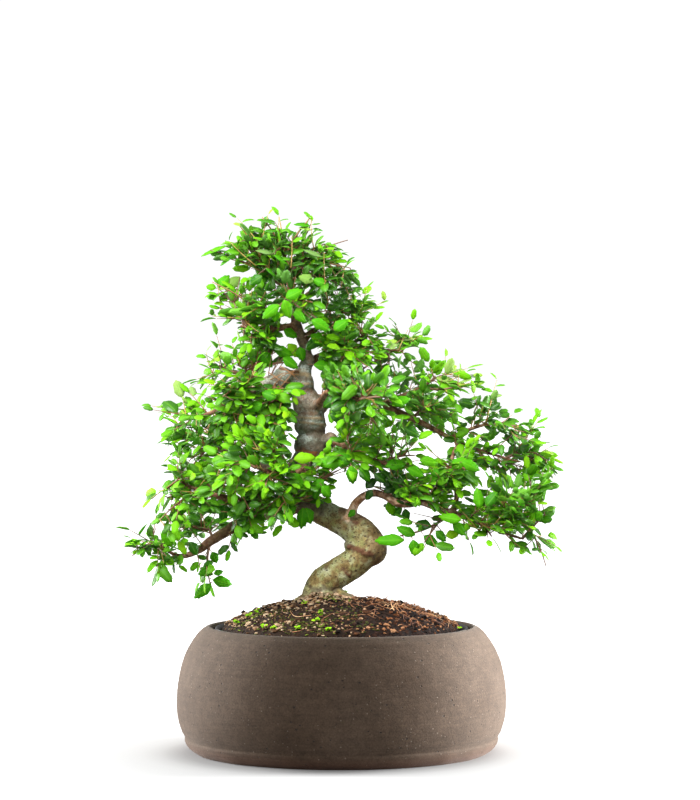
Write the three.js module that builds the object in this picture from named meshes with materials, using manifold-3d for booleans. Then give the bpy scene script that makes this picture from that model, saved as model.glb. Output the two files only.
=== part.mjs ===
import * as THREE from 'three';
import { mergeVertices } from 'three/addons/utils/BufferGeometryUtils.js';
import Module from 'manifold-3d';

// Elm bonsai in a round stoneware pot: an S-shaped trunk with its limbs, leafy branchlets,
// a mound of soil in a black plastic grow pot, and the stoneware pot around it.
// Millimetres, Z up. The origin is the middle of the pot's foot, and the front faces -Y.

const wasm = await Module();
wasm.setup();
const { Manifold, Mesh } = wasm;

// Sizes that the rest follows.
const GAP = 0.3;                 // clearance between pieces that touch
const POT_SIDES = 36;
const INNER_SIDES = 24;          // sides of the grow pot and of the soil in it
const SOIL_TOP = 102.4;          // height of the mound at the trunk
const STEM_RADIUS = 1.25;        // three-sided: corners this far from the middle of the stem
const FORK_RADIUS = 0.95;
const SHOOT_RADIUS = 0.75;
const ROOT_RADIUS = 0.5;         // of a fork or shoot where it starts, inside the stem that bears it
const STEM_RINGS = 3;
const RIB = 0.65;                // half the thickness of a leaf at its rib
const KNEE_SQUASH = 0.92;        // the burl at the trunk's bend is a little flatter from front to back
const KNEE_TURN = 0.5;
const CRUMB = 1.1;               // height of the crumbs raised from the soil
const SEED = 4;

// How branchlets grow.
const STEP = 2;                  // spacing of the points that keep wood apart
const CLEAR = 2;                 // least air between the wood of two branchlets
const TIP_LEAF = 11;             // the stem ends this far before the spray's tip
const SHOOT_STEP = 7.5;
const LEAF_STEP = 6;
const SHOOT_GAP = 1.35;          // side shoots stand further apart than the leaves on a stem
const LEAF_GAP = 11.2;            // least distance between the middles of two leaves
const TRUNK_X = -18;             // the upright line that leaves turn away from

const UP = new THREE.Vector3(0, 0, 1);

// The tree is laid out on a front sheet, as an eye level with its crown sees it:
// steps to the right and down on the sheet, then mm behind the trunk's plane.
const EYE = new THREE.Vector3(5.7, -1780, 234);
const SHEET = { right: 350, down: 400, perMm: 1.495 };
const DEPTH = 1.3;               // limbs and sprays reach this much further to the front and back than listed

function place(right, down, deep) {
  const away = (deep - EYE.y) / -EYE.y / SHEET.perMm;
  return new THREE.Vector3(
    EYE.x + (right - SHEET.right) * away,
    deep,
    EYE.z - (down - SHEET.down) * away,
  );
}

// Limbs: right, down, deep and radius in mm at each point, from the root of the limb outwards.
const TRUNK_FOOT = [
  [322, 622, 0, 14.2], [321, 606, 0, 13.8], [321, 594, 0, 12.8], [323, 585, 0, 11.8],
  [329, 578, -1, 10.9], [340, 571, -1, 10.5], [354, 562, -2, 10.6], [364, 552, -2, 11.4],
];
const KNEE = [367.5, 548, -2, 12.6];
const TRUNK = [
  [369, 546, -2, 11], [361, 534, -1, 11], [346, 524, 1, 10], [331, 517, 3, 9.3], [317, 510, 4, 9.1],
  [304, 499, 5, 9.2], [298, 484, 5, 9.2], [302, 467, 4, 9.4], [309, 455, 3, 9.8], [311, 446, 2, 11.4],
  [312, 434, 1, 9.3], [310, 424, 0, 10.5], [309, 411, 0, 10.1], [305, 398, -1, 9.5], [302, 387, -1, 7.4],
  [303, 374, 0, 6.1], [307, 361, 1, 4.4], [305, 348, 2, 3.9], [300, 335, 2, 4], [296, 322, 2, 3.6],
  [293, 302, 1, 3], [289, 280, 0, 2.4], [287, 262, 0, 1.8],
];
const LIMBS = {
  left_low_front: [[302, 492, 2, 6.5], [290, 503, -5, 5.2], [275, 509, -10, 4.6], [257, 504, -14, 3.8],
    [238, 501, -17, 3.2], [212, 495, -20, 2.5], [192, 488, -22, 1.8], [178, 480, -22, 1.3]],
  left_low_back: [[303, 496, 8, 6], [290, 508, 12, 5.4], [268, 513, 16, 4.8], [243, 521, 18, 4.4],
    [226, 531, 17, 4], [210, 541, 16, 3.6], [196, 551, 14, 2.8], [178, 556, 12, 2], [158, 545, 10, 1.3]],
  left_mid: [[299, 472, 6, 6], [282, 470, 16, 4.4], [257, 463, 23, 3.5], [230, 453, 28, 2.8],
    [208, 444, 30, 2], [192, 436, 32, 1.3]],
  left_high: [[301, 384, -2, 6.4], [285, 378, -6, 6.2], [268, 383, -10, 5], [250, 392, -13, 3.6],
    [231, 404, -15, 2.8], [211, 413, -16, 2], [190, 420, -16, 1.3]],
  left_high_fork: [[268, 383, -10, 4], [255, 379, -4, 2.6], [241, 374, 0, 2], [228, 371, 2, 1.3]],
  right_low: [[348, 523, 0, 4.6], [351, 512, -2, 3.7], [355, 503, -4, 3.2], [363, 496, -6, 3],
    [373, 493, -9, 2.9], [384, 496, -11, 2.8], [396, 503, -12, 2.8], [408, 504, -13, 2.8],
    [420, 502, -12, 2.8], [434, 507, -10, 2.8], [451, 513, -8, 2.6], [475, 521, -6, 2.2],
    [498, 531, -4, 1.8], [522, 539, -2, 1.3]],
  right_low_rise: [[451, 513, -8, 2.4], [456, 495, -5, 2.2], [451, 474, -2, 2], [453, 455, 1, 1.8],
    [460, 440, 6, 1.3]],
  right_mid: [[312, 448, 1, 6], [327, 441, -6, 4.4], [338, 443, -11, 3], [348, 447, -14, 2.7],
    [362, 456, -17, 2.4], [380, 462, -20, 1.9], [402, 468, -22, 1.3]],
  right_high: [[309, 418, 1, 6], [321, 409, 4, 4.2], [327, 402, 6, 3.4], [333, 393, 9, 3.1],
    [342, 390, 11, 3], [355, 391, 14, 3], [367, 396, 16, 3], [382, 404, 17, 2.9], [401, 413, 17, 2.7],
    [418, 421, 16, 2.5], [434, 429, 15, 2.3], [450, 438, 12, 2], [470, 447, 9, 1.7], [495, 455, 6, 1.5],
    [520, 462, 4, 1.3]],
  right_high_fork: [[382, 404, 17, 2.7], [400, 397, 14, 2.2], [416, 390, 10, 1.8], [432, 381, 6, 1.3]],
  right_far_fork: [[450, 438, 12, 2], [468, 430, 6, 1.8], [484, 425, 2, 1.5], [500, 424, -1, 1.3]],
  shoulder: [[306, 366, 1, 4], [318, 357, 6, 2.8], [338, 350, 11, 2.3], [360, 346, 14, 2],
    [382, 350, 14, 1.6], [402, 350, 13, 1.3]],
  front_mid: [[304, 462, 2, 6], [302, 470, -12, 3.2], [290, 474, -24, 2.6], [272, 472, -34, 2],
    [256, 468, -42, 1.3]],
  back_low: [[298, 478, 8, 6], [310, 468, 26, 3.8], [330, 458, 44, 2.8], [352, 452, 58, 2],
    [372, 448, 68, 1.3]],
  back_high: [[304, 396, 2, 5], [292, 390, 20, 3.4], [278, 386, 38, 2.6], [262, 386, 54, 1.9],
    [248, 390, 66, 1.3]],
  front_high: [[306, 404, -2, 5], [316, 396, -16, 3], [328, 392, -28, 2.4], [344, 394, -38, 1.8],
    [358, 400, -46, 1.3]],
  crown_left: [[299, 330, 2, 3.6], [286, 327, -1, 2.8], [273, 330, -5, 2.4], [258, 330, -8, 2],
    [240, 326, -10, 1.3]],
  crown_right: [[303, 340, 2, 3.4], [313, 331, 6, 2.3], [326, 324, 9, 1.8], [342, 316, 10, 1.3]],
};

// Surface roots that run out of the trunk's foot and into the soil.
const ROOTS = [
  [[322, 598, 0, 9], [306, 602, -6, 6.5], [294, 610, -12, 4.6], [286, 620, -16, 3]],
  [[322, 598, 0, 9], [322, 603, -13, 6.4], [320, 611, -25, 4.4], [317, 621, -33, 3]],
  [[326, 596, 0, 9], [342, 600, -7, 6.6], [356, 607, -12, 4.6], [367, 617, -15, 3]],
  [[326, 596, 0, 9], [336, 602, 14, 6], [346, 611, 26, 4.2], [353, 621, 33, 3]],
  [[322, 598, 0, 9], [308, 603, 12, 6], [298, 612, 22, 4.2], [291, 622, 28, 3]],
];

// Leafy branchlets: the limb that each grows from, the share along it, and where its tips end.
const SPRAYS = {
  crown_peak_left: ['trunk', 0.93, [241, 223, -4], [216, 252, -8]],
  crown_peak: ['trunk', 1, [280, 231, -6], [262, 231, 12]],
  crown_peak_right: ['trunk', 0.965, [312, 220, 0], [340, 258, 8]],
  crown_left: ['crown_left', 0.9, [226, 288, -6], [224, 318, 6]],
  crown_right: ['crown_right', 0.9, [368, 294, 4], [352, 290, 30]],
  crown_front_left: ['crown_left', 0.5, [244, 290, -28]],
  crown_front: ['trunk', 0.9, [288, 298, -30], [322, 302, -26]],
  crown_back: ['trunk', 0.945, [262, 262, 32], [312, 274, 34]],
  shoulder_tip: ['shoulder', 1, [420, 338, 8], [402, 330, -6]],
  shoulder_front: ['shoulder', 0.5, [374, 328, -14], [354, 374, -24]],
  shoulder_back: ['shoulder', 0.85, [390, 372, 36]],
  right_fork_tip: ['right_high_fork', 1, [444, 362, 4], [462, 372, 22]],
  right_fork_front: ['right_high_fork', 0.8, [472, 386, -12]],
  front_high_tip: ['front_high', 1, [404, 396, -52], [364, 376, -50]],
  right_far_tip: ['right_far_fork', 0.9, [534, 426, 2], [520, 440, -24]],
  right_far_top: ['right_far_fork', 0.5, [490, 398, 4]],
  right_high_front: ['right_high', 0.62, [430, 404, -18]],
  right_high_back: ['right_high', 0.6, [466, 420, 38], [394, 424, 46]],
  right_high_tip: ['right_high', 0.96, [564, 462, 4], [534, 456, 28]],
  right_mid_tip: ['right_mid', 0.85, [430, 452, -30], [392, 432, -32]],
  right_mid_root: ['right_mid', 0.5, [352, 474, -38]],
  right_low_tip: ['right_low', 1, [558, 502, -2], [546, 552, 0]],
  right_low_under: ['right_low', 0.86, [502, 548, -14], [470, 540, -20]],
  right_low_droop: ['right_low', 0.77, [386, 542, -22], [416, 554, -26]],
  right_low_outer: ['right_low', 0.94, [534, 484, -20], [496, 492, -26]],
  right_rise_front: ['right_low_rise', 0.6, [430, 476, -24]],
  right_low_inner: ['right_low', 0.55, [410, 480, -34]],
  right_rise_tip: ['right_low_rise', 0.9, [502, 474, 20]],
  right_low_back: ['right_low', 0.82, [512, 508, 26]],
  right_low_root: ['right_low', 0.45, [384, 484, 12]],
  front_mid_root: ['front_mid', 0.25, [326, 490, -28]],
  back_low_tip: ['back_low', 1, [398, 446, 84], [350, 428, 82]],
  back_high_tip: ['back_high', 0.9, [250, 362, 78], [230, 404, 88]],
  left_fork_tip: ['left_high_fork', 1, [206, 358, -4], [200, 384, 20]],
  left_fork_top: ['left_high_fork', 0.5, [242, 350, -10]],
  left_high_tip: ['left_high', 1, [160, 404, -14], [168, 436, -10]],
  left_high_front: ['left_high', 0.5, [244, 378, -38], [212, 400, -40]],
  left_high_root: ['left_high', 0.25, [270, 412, -32]],
  left_mid_tip: ['left_mid', 1, [168, 440, 28], [176, 468, 20]],
  left_mid_back: ['left_mid', 0.6, [212, 434, 60]],
  left_mid_front: ['left_mid', 0.75, [196, 464, 4]],
  front_mid_tip: ['front_mid', 1, [222, 454, -46], [212, 482, -42]],
  front_mid_under: ['front_mid', 0.8, [264, 496, -54]],
  front_mid_top: ['front_mid', 0.55, [262, 438, -46]],
  left_low_tip: ['left_low_front', 1, [164, 486, -20], [152, 508, -18]],
  left_low_front: ['left_low_front', 0.8, [178, 508, -44]],
  left_low_top: ['left_low_front', 0.7, [200, 470, -8]],
  left_low_under: ['left_low_front', 0.5, [226, 524, -38], [266, 528, -28]],
  left_low_root: ['left_low_front', 0.12, [302, 524, -18]],
  left_end_tip: ['left_low_back', 1, [124, 548, 6], [150, 530, -2]],
  left_end_under: ['left_low_back', 0.95, [162, 574, 14]],
  left_hanging: ['left_low_back', 0.62, [210, 600, 14]],
  left_end_back: ['left_low_back', 0.6, [204, 512, 42]],
  left_end_front: ['left_low_back', 0.5, [240, 544, 6]],
};

// Pot: outside from the middle of the foot up to the lip, then down the inside.
const POT_PROFILE = [
  [0, 0], [98, 0], [101.6, 3], [104.6, 8.2], [104.2, 9.6], [106.8, 13], [109.9, 30], [109.1, 46],
  [106.2, 60], [101.8, 70], [94.6, 79.4], [89.2, 83], [85.4, 80.6], [98.5, 56], [102, 30], [88, 8], [0, 8],
];
const GROW_POT_PROFILE = [
  [0, 8 + GAP], [67, 8 + GAP], [83.2, 78], [84.4, 79], [84.4, 82.2], [83.2, 82.2],
  [82, 79], [65.8, 9.8], [0, 9.8],
];
// Mound: radius and height, from the grow pot's wall in to the trunk.
const MOUND = [[81.6, 79.6], [77, 86], [66, 91], [52, 96.2], [37, 99.8], [20, 101.9]];

// Random numbers between 0 and 1, the same at every build.
function draws(seed) {
  let state = seed;
  return () => {
    state = (state * 1664525 + 1013904223) % 4294967296;
    return state / 4294967296;
  };
}

// Solids and meshes.
function solid(geometry) {
  const g = new THREE.BufferGeometry();
  g.setAttribute('position', geometry.getAttribute('position').clone());
  if (geometry.index) g.setIndex(geometry.index.clone());
  const merged = mergeVertices(g, 1e-4);
  return new Manifold(new Mesh({
    numProp: 3,
    vertProperties: new Float32Array(merged.getAttribute('position').array),
    triVerts: new Uint32Array(merged.index.array),
  }));
}

function mesh(name, body, colour) {
  const data = body.getMesh();
  const g = new THREE.BufferGeometry();
  g.setAttribute('position', new THREE.BufferAttribute(Float32Array.from(data.vertProperties), 3));
  g.setIndex(new THREE.BufferAttribute(Uint32Array.from(data.triVerts), 1));
  g.computeVertexNormals();
  const m = new THREE.Mesh(g, new THREE.MeshStandardMaterial({ color: colour, roughness: 0.7 }));
  m.name = name;
  return m;
}

function turned(profile, sides) {
  const g = new THREE.LatheGeometry(profile.map(([r, z]) => new THREE.Vector2(r, z)), sides);
  g.rotateX(Math.PI / 2);
  return solid(g);
}

// Wood: a many-sided bar laid along a curve, its radius set at each ring.
function bar(curve, sides, rings, radius) {
  const section = new THREE.Shape();
  for (let i = 0; i < sides; i++) {
    const a = (i / sides) * Math.PI * 2;
    section[i ? 'lineTo' : 'moveTo'](Math.cos(a), Math.sin(a));
  }
  const g = new THREE.ExtrudeGeometry(section, { depth: 1, steps: rings, bevelEnabled: false });
  const frames = curve.computeFrenetFrames(rings, false);
  const at = g.getAttribute('position');
  for (let i = 0; i < at.count; i++) {
    const ring = Math.round(at.getZ(i) * rings);
    const x = at.getX(i);
    const y = at.getY(i);
    const share = curve.getUtoTmapping(ring / rings);
    const r = radius(share, Math.atan2(y, x), ring / rings);
    const p = curve.getPoint(share)
      .addScaledVector(frames.normals[ring], x * r)
      .addScaledVector(frames.binormals[ring], y * r);
    at.setXYZ(i, p.x, p.y, p.z);
  }
  return solid(g);
}

function route(rows, depth = 1) {
  return {
    curve: new THREE.CatmullRomCurve3(rows.map(([a, b, c]) => place(a, b, c * depth)), false, 'catmullrom', 0.5),
    radii: new THREE.CatmullRomCurve3(rows.map((row) => new THREE.Vector3(row[3], 0, 0)), false, 'catmullrom', 0.5),
  };
}

// The woody body, swollen by extra mm all round and past the ends of its limbs.
function woodyBody(extra) {
  const parts = [];
  const limb = (rows, sides, rings, depth = 1, lobes = 0) => {
    const { curve, radii } = route(rows, depth);
    if (extra) {
      const end = curve.points.length - 1;
      curve.points[end].addScaledVector(curve.getTangent(1), extra);
    }
    parts.push(bar(curve, sides, rings, (share, angle) => (
      radii.getPoint(share).x * (1 + lobes * Math.sin(3 * angle + 9 * share) * Math.cos(5 * angle - 14 * share)) + extra
    )));
  };
  limb(TRUNK_FOOT, 9, 5, 1, 0.04);
  limb(TRUNK, 9, 25, 1, 0.035);
  const knee = new THREE.SphereGeometry(KNEE[3] + extra, 10, 6);
  const middle = place(KNEE[0], KNEE[1], KNEE[2]);
  knee.scale(1, KNEE_SQUASH, 1);
  knee.rotateY(KNEE_TURN);
  knee.translate(middle.x, middle.y, middle.z);
  parts.push(solid(knee));
  for (const rows of Object.values(LIMBS)) {
    const thick = rows[2][3] > 3.5;
    limb(rows, thick ? 5 : 4, Math.round((rows.length - 1) * 0.75), DEPTH);
  }
  for (const rows of ROOTS) limb(rows, 5, 3);
  return Manifold.union(parts);
}

// Growth of the branchlets.
const bezier = (path, t) => new THREE.QuadraticBezierCurve3(...path).getPoint(t);
const heading = (path, t) => new THREE.QuadraticBezierCurve3(...path).getTangent(t);
const squared = (v, axis) => v.clone().addScaledVector(axis, -v.dot(axis)).normalize();
const mix = (...terms) => terms.reduce((sum, [v, k]) => sum.addScaledVector(v, k), new THREE.Vector3());
const swing = (attempt) => attempt * (attempt % 2 ? 1 : -1);

// The wood of a stem or of a side shoot, and the point of its axis at share t.
function twig(shoot, extra = 0) {
  const curve = new THREE.QuadraticBezierCurve3(...shoot.path);
  return bar(curve, 3, shoot.stem ? STEM_RINGS : 1, (t) => (
    (t || shoot.radius === STEM_RADIUS ? shoot.radius * (1 - 0.25 * t) : ROOT_RADIUS) + extra
  ));
}

function axisPoint(shoot, t) {
  const curve = new THREE.QuadraticBezierCurve3(...shoot.path);
  if (!shoot.stem) return curve.getPoint(t);
  const ring = Math.min(Math.floor(t * STEM_RINGS), STEM_RINGS - 1);
  return curve.getPointAt(ring / STEM_RINGS).lerp(curve.getPointAt((ring + 1) / STEM_RINGS), t * STEM_RINGS - ring);
}

function outward(p) {
  return new THREE.Vector3(p.x - TRUNK_X, p.y * 1.2, 0).normalize();
}

function grow() {
  const draw = draws(SEED);
  const limbs = { trunk: route(TRUNK) };
  for (const [name, rows] of Object.entries(LIMBS)) limbs[name] = route(rows, DEPTH);
  const wood = [];
  for (const { curve, radii } of [route(TRUNK_FOOT), ...Object.values(limbs)]) {
    const n = 5 * (curve.points.length - 1);
    for (let i = 0; i <= n; i++) wood.push({ at: curve.getPoint(i / n), radius: radii.getPoint(i / n).x, owner: '' });
  }
  const room = (path, owner, skip) => {
    const n = Math.max(3, Math.floor(path[2].distanceTo(path[0]) / STEP));
    for (let i = 0; i < n; i++) {
      const p = bezier(path, (i + 1) / n);
      if (p.distanceTo(path[0]) <= skip) continue;
      for (const w of wood) {
        if (w.owner !== owner && p.distanceTo(w.at) - w.radius < CLEAR) return false;
      }
    }
    return true;
  };
  const keep = (path, owner, radius) => {
    const n = Math.max(3, Math.floor(path[2].distanceTo(path[0]) / STEP));
    for (let i = 0; i < n; i++) wood.push({ at: bezier(path, (i + 0.5) / n), radius, owner });
  };

  const grown = [];
  for (const [name, [limb, share, ...tips]] of Object.entries(SPRAYS)) {
    const { curve, radii } = limbs[limb];
    const thick = radii.getPoint(share).x;
    const shoots = [];
    tips.forEach((end, number) => {
      const start = number ? axisPoint(shoots[0], 0.3) : curve.getPoint(share);
      const tip = place(end[0], end[1], end[2] * DEPTH);
      tip.addScaledVector(tip.clone().sub(start).normalize(), -TIP_LEAF);
      const span = tip.clone().sub(start);
      const length = span.length();
      const ahead = span.clone().normalize();
      const face = squared(mix([UP, 0.8], [outward(tip), 0.5], [new THREE.Vector3(0, -1, 0), 0.25]), ahead);
      const bow = 0.08 + 0.08 * draw();
      let path;
      for (let attempt = 0; attempt < 9; attempt++) {
        const lift = face.clone().applyAxisAngle(ahead, swing(attempt) * 0.8);
        path = [start, mix([start, 1], [span, 0.5], [lift, length * (bow + 0.04 * attempt)]), tip];
        if (room(path, `${name} 0`, number ? 3 : thick + 3)) break;
      }
      keep(path, `${name} ${number}`, 1);
      shoots.push({
        path,
        face,
        stem: true,
        radius: number ? FORK_RADIUS : STEM_RADIUS,
        first: number ? 3 : Math.min(thick + 3, 0.45 * length),
      });
    });
    grown.push({ name, shoots, leaves: [] });
  }

  grown.forEach((spray, k) => {
    [...spray.shoots].forEach((stem, number) => {
      const { path, face } = stem;
      const span = path[2].clone().sub(path[0]);
      const side = new THREE.Vector3().crossVectors(face, span.clone().normalize()).normalize();
      const count = Math.max(2, Math.floor((span.length() * 0.85) / SHOOT_STEP));
      for (let j = 0; j < count; j++) {
        const t = 0.16 + (0.72 * (j + 0.4 * draw())) / count;
        const p = axisPoint(stem, t);
        const along = heading(path, t);
        const sign = (j + k) % 2 ? -1 : 1;
        const spread = 0.75 + 0.45 * draw();
        const lift = -0.1 + 0.6 * draw();
        const size = (11 + 12 * draw()) * (1.1 - 0.6 * t);
        for (let attempt = 0; attempt < 7; attempt++) {
          const angle = swing(attempt) * 0.5;
          const way = mix(
            [along, 0.75],
            [side.clone().applyAxisAngle(along, angle), sign * spread],
            [face.clone().applyAxisAngle(along, angle), lift],
          ).normalize();
          const end = mix([p, 1], [way, size], [along, 0.2 * size], [UP, 0.12 * size]);
          const sub = [p, mix([p, 0.5], [end, 0.5]), end];
          if (room(sub, `${spray.name} ${number}`, 3)) {
            keep(sub, `${spray.name} ${number}`, 0.7);
            spray.shoots.push({ path: sub, face, stem: false, radius: SHOOT_RADIUS, first: 3 });
            break;
          }
        }
      }
    });
  });

  for (const spray of grown) {
    for (const shoot of spray.shoots) {
      const { path, face, first, stem } = shoot;
      const size = path[2].distanceTo(path[0]);
      const n = Math.max(0, Math.floor((size - first) / LEAF_STEP));
      for (let m = 0; m <= n; m++) {
        const t = n ? (first + ((size - first) * m) / n) / size : 1;
        const base = bezier(path, t);
        const along = heading(path, t);
        const f = squared(mix([face, 1], [UP, 0.3]), along);
        const side = new THREE.Vector3().crossVectors(f, along);
        const sign = m % 2 ? 1 : -1;
        const last = m === n;
        const r = Array.from({ length: 7 }, draw);
        const lean = last ? 0.15 : 0.75 + 0.5 * r[0];
        const way = mix([along, Math.cos(lean)], [side, sign * Math.sin(lean)], [UP, 0.35 * r[1] - 0.25]).normalize();
        const wild = new THREE.Vector3(r[2] - 0.5, r[3] - 0.5, r[4] - 0.35);
        const normal = squared(
          mix([f, 0.7], [outward(base), 0.45], [wild, 1.5], [new THREE.Vector3(0, -1, 0), 0.15]), way);
        const length = (9.5 + 8.5 * r[5]) * (last ? 0.78 : 1);
        spray.leaves.push({ base, share: t, along, way, normal, length, shoot, rank: stem ? (last ? 0 : 1) : (last ? 2 : 3) });
      }
    }
  }
  return grown;
}

// A leaf blade: a thin lens with two teeth a side and a pointed tip, lightly folded along its rib.
// Rim points as shares of the length and of the half width, from the root round one side to the tip.
const BLADE = [[0, 0], [0.32, 0.98], [0.46, 0.84], [0.68, 0.88], [1, 0]];
const BLADE_MIDDLE = 0.42;
const BLADE_WIDTH = 0.27;        // half the width
const BLADE_DROOP = 0.1;
const BLADE_FOLD = 0.12;
const BLADE_SINK = [0.9, 0.2];   // how far a leaf's root reaches back into a stem's end, and into its side
const BLADE_POINT = 0.8;         // the drawn-out tip

function blade(leaf, extra = 0) {
  const { base, way, normal, length, rank } = leaf;
  const half = length * BLADE_WIDTH;
  const sink = BLADE_SINK[rank ? 1 : 0] + extra;
  const side = new THREE.Vector3().crossVectors(normal, way);
  const rim = [...BLADE.map(([x, y]) => [x, -y]), ...BLADE.slice(1, -1).reverse()];
  const g = new THREE.LatheGeometry(
    [new THREE.Vector2(0, -1), new THREE.Vector2(1, 0), new THREE.Vector2(0, 1)], rim.length);
  const at = g.getAttribute('position');
  const point = (x, y, z) => mix([base, 1], [way, x], [side, y], [normal, z]);
  for (let i = 0; i < at.count; i++) {
    const x = at.getX(i);
    const z = at.getZ(i);
    const up = at.getY(i);
    let p;
    if (Math.abs(up) > 0.5) {
      p = point(BLADE_MIDDLE * length, 0, Math.sign(up) * (RIB + extra) - RIB / 2);
    } else {
      const turn = (Math.atan2(x, z) / (Math.PI * 2)) * rim.length;
      const [rx, ry] = rim[(Math.round(turn) + rim.length) % rim.length];
      p = point(
        rx * (length + BLADE_POINT + extra) - (rx ? 0 : sink),
        ry * (half + extra),
        BLADE_FOLD * half * Math.abs(ry) - BLADE_DROOP * length * rx * rx,
      );
    }
    at.setXYZ(i, p.x, p.y, p.z);
  }
  return solid(g);
}

function boxesMeet(a, b) {
  return [0, 1, 2].every((i) => a.min[i] <= b.max[i] && b.min[i] <= a.max[i]);
}

function meets(a, b, boxA, boxB, least = 1e-5) {
  return boxesMeet(boxA, boxB) && a.intersect(b).volume() > least;
}

// Chooses the leaves that the branchlets carry: ends first, then the ones that fill the space between.
function clothe(grown, body) {
  const bodyBox = body.boundingBox();
  for (const spray of grown) spray.taken = [];
  const middles = [];
  const wood = grown.map((spray) => spray.shoots.map((shoot) => {
    const s = twig(shoot, GAP);
    return { solid: s, box: s.boundingBox(), shoot };
  }));
  const leaves = [];
  for (const [rank, gap] of [[0, LEAF_GAP * 0.8], [1, LEAF_GAP], [2, LEAF_GAP * SHOOT_GAP], [3, LEAF_GAP]]) {
    grown.forEach((spray, k) => {
      for (const leaf of spray.leaves.filter((l) => l.rank === rank)) {
        const middle = mix([leaf.base, 1], [leaf.way, leaf.length * 0.55]);
        if (rank === 3 && !leaf.shoot.used) continue;
        if (middles.some((m) => m.distanceTo(middle) < gap)) continue;
        for (const angle of [0, 0.6, -0.6, 1.2, -1.2]) {
          const tried = {
            ...leaf,
            base: axisPoint(leaf.shoot, leaf.share),
            way: leaf.way.clone().applyAxisAngle(leaf.along, angle),
            normal: leaf.normal.clone().applyAxisAngle(leaf.along, angle),
          };
          const fat = blade(tried, GAP);
          const box = fat.boundingBox();
          if (meets(fat, body, box, bodyBox)) continue;
          const crossed = wood.some((parts, other) => parts.some((w) => (
            (other !== k ? w.shoot.stem || w.shoot.used : w.shoot !== leaf.shoot && (w.shoot.stem || w.shoot.used))
            && meets(fat, w.solid, box, w.box, other === k ? 0.3 : 1e-5)
          )));
          if (crossed) continue;
          if (leaves.some((l) => meets(fat, l.thin, box, l.box, l.k === k ? 0.05 : 1e-5))) continue;
          const thin = blade(tried);
          leaves.push({ thin, box, k });
          middles.push(middle);
          spray.taken.push(thin);
          leaf.shoot.used = true;
          break;
        }
      }
    });
  }
}

function spraySolid(spray, swollen) {
  const parts = [...spray.taken];
  for (const shoot of spray.shoots) {
    if (!shoot.stem && !shoot.used) continue;
    parts.push(twig(shoot));
  }
  const pieces = Manifold.union(parts).subtract(swollen).decompose();
  return pieces.reduce((a, b) => (a.volume() > b.volume() ? a : b));
}

// Soil: a mound with crumbs raised from it, filling the grow pot.
function soilSolid(swollen) {
  const profile = [[0, 9.8 + GAP], [65.8 - 0.4, 9.8 + GAP], ...MOUND, [0, SOIL_TOP]];
  const g = new THREE.LatheGeometry(profile.map(([r, z]) => new THREE.Vector2(r, z)), INNER_SIDES);
  g.rotateX(Math.PI / 2);
  const at = g.getAttribute('position');
  for (let i = 0; i < at.count; i++) {
    const [x, y, z] = [at.getX(i), at.getY(i), at.getZ(i)];
    const r = Math.hypot(x, y);
    if (z < 82 || r < 1) continue;
    const crumbs = Math.sin(x * 0.33 + y * 0.21) * Math.cos(y * 0.29 - x * 0.17) + 0.6 * Math.sin(x * 0.71 - y * 0.53);
    at.setZ(i, z + CRUMB * crumbs);
  }
  return solid(g).subtract(swollen);
}

const body = woodyBody(0);
const swollen = woodyBody(GAP);
const grown = grow();
clothe(grown, swollen);

const part = new THREE.Group();
part.name = 'elm_bonsai';
part.add(mesh('pot', turned(POT_PROFILE, POT_SIDES), 0x8a7868));
part.add(mesh('grow_pot', turned(GROW_POT_PROFILE, INNER_SIDES), 0x1c1c1c));
part.add(mesh('soil', soilSolid(swollen), 0x4a3527));
part.add(mesh('trunk', body, 0x7d725c));
for (const spray of grown) part.add(mesh(`spray_${spray.name}`, spraySolid(spray, swollen), 0x4fa01e));

export default part;
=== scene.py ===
"""Elm bonsai in a round stoneware pot: the finish of every surface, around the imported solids.

Lengths are in millimetres until a mesh is made, and metres in the scene. Z is up and the front faces -Y.
"""

import math
import random

import bmesh
import bpy
import numpy as np
from mathutils import Matrix, Vector, kdtree, noise


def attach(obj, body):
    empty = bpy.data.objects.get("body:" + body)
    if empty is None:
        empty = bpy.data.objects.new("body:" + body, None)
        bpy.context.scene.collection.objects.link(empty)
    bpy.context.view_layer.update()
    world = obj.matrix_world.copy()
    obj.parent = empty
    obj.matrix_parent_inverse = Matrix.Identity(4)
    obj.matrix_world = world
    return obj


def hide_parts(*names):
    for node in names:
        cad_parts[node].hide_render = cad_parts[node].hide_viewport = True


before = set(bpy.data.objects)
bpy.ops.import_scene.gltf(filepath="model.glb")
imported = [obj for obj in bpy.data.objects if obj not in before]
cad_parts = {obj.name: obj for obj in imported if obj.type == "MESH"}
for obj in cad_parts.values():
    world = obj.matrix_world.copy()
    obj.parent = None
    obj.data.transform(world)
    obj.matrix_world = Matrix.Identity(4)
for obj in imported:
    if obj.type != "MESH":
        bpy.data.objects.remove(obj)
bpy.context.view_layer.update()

MM = 0.001

# The tree is laid out on a front sheet, as an eye level with its crown sees it: steps to the right
# and down on the sheet, then mm behind the trunk's plane.
EYE = np.array([5.7, -1780.0, 234.0])
SHEET_RIGHT = 350
SHEET_DOWN = 400
SHEET_PER_MM = 1.495
SHEET_HEIGHT = 800
LIMB_DEPTH = 1.3

# Soil, inside the grow pot.
SOIL_RADIUS = 81.6
SOIL_TOP = 102.4

# How branchlets grow.
GROWTH_SEED = 4
TRUNK_X = -18
WOOD_STEP = 2
WOOD_CLEAR = 2
TIP_LEAF = 11
SHOOT_STEP = 7.5
LEAF_STEP = 6
STEM_RINGS = 3


def place(right, down, deep):
    """The point in mm that the front sheet shows there, that far behind the trunk's plane."""
    away = (deep - EYE[1]) / -EYE[1] / SHEET_PER_MM
    return np.array([EYE[0] + (right - SHEET_RIGHT) * away, deep, EYE[2] - (down - SHEET_DOWN) * away])


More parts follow.
